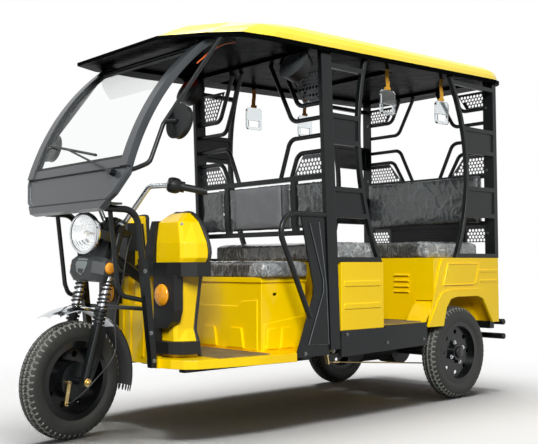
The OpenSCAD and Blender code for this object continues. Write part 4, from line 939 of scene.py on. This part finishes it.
# %% Wheel nuts and hub caps
NUT_CIRCLE, NUT_SEAT = 0.0565, 0.0232
HUB_CAP = [(31, 34.3), (31, 38), (27, 44), (16, 47), (2, 48)]
for wheel, side in (("rear_left_wheel", 1), ("rear_right_wheel", -1)):
    body, hub = wheel + "_set", Vector(joints[wheel + "_spin"]["pos_m"])
    nuts = []
    for k in range(4):
        angle = math.radians(22.5 + 90 * k)
        spot = hub + Vector((math.cos(angle) * NUT_CIRCLE, side * NUT_SEAT, -math.sin(angle) * NUT_CIRCLE))
        nuts.append(bolt(spot, (0, side, 0), 15))
    piece(wheel + "_nuts", joined(nuts), bright_steel, body)
    hub_cap = turned(HUB_CAP, hub, (0, side, 0), 28)
    piece(body.replace("wheel_set", "hub_cap"), hub_cap, black_gloss, body)
    print("closed the hub of", wheel, "with", len(nuts), "nuts")

# %% [markdown]
# ## Plugs and fork caps
# Moulded plugs close the ends of the bumper tubes, and bright caps close the fork tubes at the top. All are turned
# profiles that sit on the end of a tube.

# %% Plugs and caps
PLUG = [(17.3, 0.3), (17.3, 3), (14, 6.5), (6, 8), (1, 8.2)]
FORK_CAP = [(15, 684.3), (15, 690), (11, 694), (4, 695.5)]
plugs = [turned(PLUG, at(-420, side * 490, z), (0, side, 0), 24) for side in (-1, 1) for z in (315, 398)]
piece("bumper_plugs", joined(plugs), moulded_black)
caps = [turned(FORK_CAP, on_fork(FORK_OFFSET, side * FORK_HALF, 0), fork_up, 24) for side in (-1, 1)]
piece("fork_caps", joined(caps), bright_steel, "steering")
print("pushed in", len(plugs), "plugs and", len(caps), "caps")

# %% [markdown]
# ## Switch housings
# A moulded housing with a lever boss sits inside each grip. It is a barrel round the handlebar, so it is turned about
# the line of the grip and rides on the steering.

# %% Switch housings
GRIP_END, GRIP_BEND = Vector((-144, 372, 897)), Vector((-32, 282, 889))
HOUSING = [(13, -172), (26, -170), (33, -160), (35, -146), (34, -128), (28, -116), (18, -112)]
LEVER_BOSS = [(10, 0), (12, 8), (12, 24), (6, 30)]
housings = []
for side in (-1, 1):
    flip = Vector((1, side, 1))
    end, start = on_fork(*(GRIP_END * flip)), on_fork(*(GRIP_BEND * flip))
    along = (end - start).normalized()
    housings.append(turned(HOUSING, end, along, 20))
    housings.append(turned(LEVER_BOSS, end - along * 0.142, along.cross(fork_up) * side, 12))
piece("switch_housings", joined(housings), moulded_black, "steering")
print("moulded", len(housings), "housings and bosses")

# %% [markdown]
# ## Mirror stays
# A short bent tube joins each mirror bar to the corner of the cowl. A few points and a smooth curve give its bend.

# %% Mirror stays
STAY = [(2098, 414, 1112), (2082, 440, 1121), (2058, 468, 1136), (2046, 476, 1150)]
stays = [sweep(eased([at(x, side * y, z) for x, y, z in STAY], 4), round_bar(9.6, 12)) for side in (-1, 1)]
piece("mirror_stays", joined(stays), black_powder)
print("bent", len(stays), "stays")

# %% [markdown]
# ## Drum shield
# A thin pressed ring covers the open side of the front brake drum. It is turned as a ring, so its middle stays open for
# the axle.

# %% Front drum shield
SHIELD_RING = [(84, -31), (84, -33), (124, -35), (127, -33), (124, -31)]
shield = turned(SHIELD_RING, Vector(joints["front_wheel_spin"]["pos_m"]), fork_left, 48, True)
piece("front_drum_shield", shield, black_gloss, "front_wheel_set")
print("covered the drum with", len(shield[1]), "faces")

# %% [markdown]
# ## Louvres
# The front of the rear bench has slots that let air out, and the sheet beside each slot is pressed out into a hood. The
# hoods are half round sections carried along each slot.

# %% Bench louvres
HOOD = [(0, 0.3), (7, 1.5), (10, 5), (9, 9), (5, 12), (0, 13)]
LOUVRE_FACE, LOUVRE_LONG = 244.2, 100
hoods = [sweep([at(LOUVRE_FACE, y, z + 3), at(LOUVRE_FACE, y + LOUVRE_LONG, z + 3)], HOOD)
         for y in (-330, 230) for z in (575, 605, 635, 665)]
piece("bench_louvres", joined(hoods), yellow_enamel, crease=50)
print("pressed", len(hoods), "louvres")

# %% [markdown]
# ## Roof speakers
# Two speakers hang under the roof and face forwards. Their fronts are ring grilles, a profile of steps turned about
# the speaker's axis. The right one also has two red petals round a white dome.

# %% Speaker fronts
SPEAKER_TURN, SPEAKER_FACE = math.radians(60), 0.0642
PETAL = ((0.024, 0.0), (0.024, 0.0025), (0.05, 0.005), (0.074, 0.0025), (0.074, 0.0))
speaker_axis = Vector((math.sin(SPEAKER_TURN), 0, math.cos(SPEAKER_TURN)))
rings_mm = [(86, 60.3)] + [(84 - 6 * k, 63.5 if k % 2 else 61) for k in range(13)] + [(2, 64)]
grilles = [turned(rings_mm, at(1140, side * 410, 1655), speaker_axis, 40) for side in (-1, 1)]
piece("speaker_grilles", joined(grilles), moulded_grey, crease=20)
speaker_front, sideways = at(1140, -410, 1655) + speaker_axis * SPEAKER_FACE, Vector((0, 1, 0))
upwards = speaker_axis.cross(sideways)
petals = []
for first in (12, 97):
    spokes = [sideways * math.cos(math.radians(a)) + upwards * math.sin(math.radians(a))
              for a in range(first, first + 72, 6)]
    petals.append(skin([[speaker_front + speaker_axis * lift + spoke * reach for reach, lift in PETAL]
                        for spoke in spokes]))
piece("speaker_petals", joined(petals), moulded_red)
dome = turned([(15, 0), (14, 4), (9, 7), (2, 8)], speaker_front, speaker_axis, 20)
piece("speaker_dome", dome, moulded_white)
print("fitted", len(grilles), "grilles and", len(petals), "petals")

# %% [markdown]
# ## Fascia field
# The fascia below the headlamp carries a small plain field in silver grey. It follows the bulge of the fascia, so its
# outline is laid on that surface and then thickened outwards.

# %% Fascia field
FIELD = [(-30, 508), (30, 508), (37, 482), (24, 450), (0, 436), (-24, 450), (-37, 482)]
FASCIA_FRONT = [(421, 104), (450, 124), (500, 128), (524, 112)]


def fascia_front(up):
    """How far the front of the fascia reaches ahead of the steering axis at a level."""
    for (low, a), (high, b) in zip(FASCIA_FRONT, FASCIA_FRONT[1:]):
        if up <= high:
            return a + (b - a) * (up - low) / (high - low)
    return FASCIA_FRONT[-1][1]


field = skin([[on_fork(fascia_front(z) + out, y * grow, z) for y, z in FIELD]
              for out, grow in ((0.2, 1), (2.5, 1), (3.4, 0.9))])
piece("fascia_field", field, field_grey, "steering")
print("laid a field of", len(FIELD), "corners")

# %% [markdown]
# ## Cowl seams
# The cowl meets the screen frame and its own lower lip in two rubber seams. The cowl leans back, so `on_cowl` measures
# across, up the panel and out of it, and each seam is a small square section carried across.

# %% Cowl seams
COWL_LEAN, COWL_R, COWL_ANGLE = math.radians(19), 1126, math.radians(16.95)
SEAM = [(-2.6, -2.6), (2.6, -2.6), (2.6, 2.6), (-2.6, 2.6)]
cowl_foot = (GLASS_X + COWL_R * math.cos(COWL_ANGLE), GLASS_Z + COWL_R * math.sin(COWL_ANGLE))


def on_cowl(across, up, out):
    """Scene point on the cowl: across, up the panel, out of it."""
    return at(cowl_foot[0] - math.sin(COWL_LEAN) * up + math.cos(COWL_LEAN) * out, across,
              cowl_foot[1] + math.cos(COWL_LEAN) * up + math.sin(COWL_LEAN) * out)


seams = [sweep([on_cowl(-half, up, out), on_cowl(half, up, out)], SEAM)
         for half, up, out in ((326, -137, 5.2), (424, 1.5, 1.2))]
piece("cowl_seams", joined(seams), edge_rubber)
print("laid", len(seams), "seams")

# %% [markdown]
# ## Bench corners
# Folded sheet closes the corner between the rear bench and the body side: a front that is flush with the bench, a cheek
# along the side and a narrow shelf beside the cushion. Each is an outline given the thickness of the sheet.

# %% Bench end panels
FRONT = [(373.5, 541), (373.5, 755.3), (440.6, 755.3), (440.6, 767.5), (493, 767.5), (493, 541)]
CHEEK = [(151, 600), (151, 763), (239, 763), (239, 545)]
SHELF = [(151, 441), (239, 441), (239, 493), (151, 493)]
ends = []
for side in (-1, 1):
    ends.append(skin([[at(x, side * y, z) for y, z in FRONT] for x in (239, 243.6)]))
    ends.append(skin([[at(x, side * y, z) for x, z in CHEEK] for y in (489, 493)]))
    ends.append(skin([[at(x, side * y, z) for x, y in SHELF] for z in (763, 767.5)]))
piece("bench_end_panels", joined(ends), yellow_enamel)
print("folded", len(ends), "corner sheets")

# %% [markdown]
# ## Guard beads
# The sheet inlay of each side guard ends in a rolled bead. A thin round bar carried around the outline of the inlay
# gives that line, coloured light grey as a painted highlight along the bead.

# %% Guard beads
INLAY = [(1174, 926), (1112, 930), (1066, 640), (1052, 362), (1185, 367), (1086, 606), (1086, 662)]
beads = [sweep([at(x, side * 495.2, z) for x, z in INLAY], round_bar(1.8, 6), up=(0, 1, 0), around=True)
         for side in (-1, 1)]
piece("guard_beads", joined(beads), bead_highlight_grey)
print("rolled", len(beads), "beads")

# %% [markdown]
# ## Swages
# Large pressings have swages: raised lines that stop the sheet from drumming and catch a line of light. A half-sunk
# round bar carried around each raised field gives that line.

# %% Swages on the quarters and the tail
RAISED_FIELD = [(176, 622), (132, 736), (-156, 736), (-124, 634), (-108, 622)]
TAIL_FIELD = [(-424, 478), (-432, 490), (-432, 700), (-424, 712), (424, 712), (432, 700), (432, 490), (424, 478)]
swages = [sweep([at(x, side * 507, z) for x, z in RAISED_FIELD], round_bar(3.4, 8), up=(0, 1, 0), around=True)
          for side in (-1, 1)]
swages.append(sweep([at(-368, y, z) for y, z in TAIL_FIELD], round_bar(4.5, 8), up=(1, 0, 0), around=True))
swages += [sweep([at(-368, -330, z), at(-368, 330, z)], round_bar(4.5, 8), up=(1, 0, 0)) for z in (560, 630)]
piece("body_swages", joined(swages), yellow_enamel)
print("pressed", len(swages), "swages")

# %% [markdown]
# ## Brake rods
# Under the floor a thin plated rod on each side pulls the lever of the rear drum, with an adjuster sleeve at its front
# end and a flat link at each end. Round and flat sections carried between two points are enough for all of it.

# %% Brake rods
SLEEVE = [(3.6, 0), (7, 2), (7, 44), (3.6, 46)]
LINK = [(-3, -11), (3, -11), (3, 11), (-3, 11)]
rods = []
for side in (-1, 1):
    front, rear = at(918, side * 360, 259), at(62, side * 360, 186)
    along = (rear - front).normalized()
    rods.append(sweep([front, rear], round_bar(3.4, 8)))
    rods.append(turned(SLEEVE, front + along * 0.03, along, 12))
    rods.append(sweep([at(955, side * 366, 372), front + Vector((0.004, 0, -0.01))], LINK, up=(0, 1, 0)))
    rods.append(sweep([at(0, side * 371, 250), rear + Vector((-0.004, side * 0.006, -0.01))], LINK, up=(0, 1, 0)))
piece("brake_rods", joined(rods), zinc)
print("hung", len(rods), "rods, sleeves and links")

# %% [markdown]
# ## Floor
# The vehicle stands on a pale floor in a bright hall. The floor is plain near the wheels, so that it holds the soft
# shadow, and fades into the white of the background further out. Rays that see it, straight or in a reflection, find it
# bright. Light that bounces from it is held back, because it would lift every shadow under the body.

# %% Floor
FLOOR_HALF, FADE_FROM, FADE_TO, BOUNCE = 30, 1.3, 3.2, 0.12


def seen_rays(tree):
    """A socket that is one for rays that see a surface: camera, glossy and transmission rays."""
    path = add(tree, "ShaderNodeLightPath").outputs
    seen = path["Is Camera Ray"]
    for kind in ("Is Glossy Ray", "Is Transmission Ray"):
        seen = add(tree, "ShaderNodeMath", {0: seen, 1: path[kind]}, operation="MAXIMUM").outputs["Value"]
    return seen


floor_paint = bpy.data.materials.new("pale_floor_paint")
floor_paint.use_nodes = True
tree = floor_paint.node_tree
tree.nodes.remove(tree.nodes["Principled BSDF"])
place = add(tree, "ShaderNodeTexCoord").outputs["Object"]
speckle = add(tree, "ShaderNodeTexNoise", {"Vector": place, "Scale": 40.0}).outputs["Fac"]
tone = add(tree, "ShaderNodeMapRange", {"Value": speckle, "To Min": 1.32, "To Max": 1.38}).outputs["Result"]
white = add(tree, "ShaderNodeEmission", {"Color": (1, 1, 1, 1), "Strength": 1.0}).outputs["Emission"]
seen = seen_rays(tree)
shade = add(tree, "ShaderNodeMapRange", {"Value": seen, "To Min": BOUNCE, "To Max": 1.0}).outputs["Result"]
tone = add(tree, "ShaderNodeMath", {0: tone, 1: shade}, operation="MULTIPLY").outputs["Value"]
paint = add(tree, "ShaderNodeBsdfDiffuse", {"Color": tone}).outputs["BSDF"]
reach = add(tree, "ShaderNodeVectorMath", {0: place}, operation="LENGTH").outputs["Value"]
far = add(tree, "ShaderNodeMapRange", {"Value": reach, "From Min": FADE_FROM, "From Max": FADE_TO},
          interpolation_type="SMOOTHSTEP").outputs["Result"]
fade = add(tree, "ShaderNodeMath", {0: seen, 1: far}, operation="MULTIPLY").outputs["Value"]
ground = add(tree, "ShaderNodeMixShader", {0: fade, 1: paint, 2: white}).outputs["Shader"]
tree.links.new(ground, tree.nodes["Material Output"].inputs["Surface"])
floor_mesh = bpy.data.meshes.new("floor")
floor_corners = [(x * FLOOR_HALF, y * FLOOR_HALF, 0) for x, y in ((-1, -1), (1, -1), (1, 1), (-1, 1))]
floor_mesh.from_pydata(floor_corners, [], [(0, 1, 2, 3)])
floor_mesh.materials.append(floor_paint)
floor = bpy.data.objects.new("floor", floor_mesh)
bpy.context.scene.collection.objects.link(floor)
print("laid a floor that fades from", FADE_FROM, "to", FADE_TO, "m")

# %% [markdown]
# ## Surround
# The hall is white wherever it is seen, also in paint, chrome and glass. It lights the vehicle only a little, so that
# the panels of light can give the shapes their shade.

# %% Surround
FILL = 0.06
world = bpy.data.worlds.new("bright_hall")
bpy.context.scene.world = world
world.use_nodes = True
tree = world.node_tree
glow = add(tree, "ShaderNodeMapRange", {"Value": seen_rays(tree), "To Min": FILL, "To Max": 1.0}).outputs["Result"]
tree.links.new(glow, tree.nodes["Background"].inputs["Strength"])
tree.nodes["Background"].inputs["Color"].default_value = (1, 1, 1, 1)
print("the surround fills with", FILL, "of its brightness")

# %% [markdown]
# ## Lamps
# A wide ceiling panel gives the soft shadow under the body, and a panel at the left front lights the side that the
# camera sees. Light linking leaves the floor out of the side panel's light, so the floor keeps only the ceiling's
# shadow.

# %% Lamps
def panel(name, place, target, size, power):
    """An area lamp that faces a target."""
    lamp = bpy.data.lights.new(name, "AREA")
    lamp.shape = "RECTANGLE"
    lamp.size, lamp.size_y = size
    lamp.energy = power
    holder = bpy.data.objects.new(name, lamp)
    bpy.context.scene.collection.objects.link(holder)
    holder.location = place
    holder.rotation_euler = (Vector(target) - Vector(place)).to_track_quat("-Z", "Y").to_euler()
    return holder


panel("ceiling_panel", (-0.4, -0.6, 16.0), (0, 0, 0), (9, 9), 1750)
side_panel = panel("left_front_panel", (5.5, 7.0, 5.6), (0, 0, 0.8), (4, 3.4), 1180)
lit = bpy.data.collections.new("lit_from_the_side")
lit.objects.link(floor)
lit.collection_objects[0].light_linking.link_state = "EXCLUDE"
side_panel.light_linking.receiver_collection = lit
bpy.context.scene.view_settings.view_transform = "Standard"
print("lit by", len(bpy.data.lights), "panels")
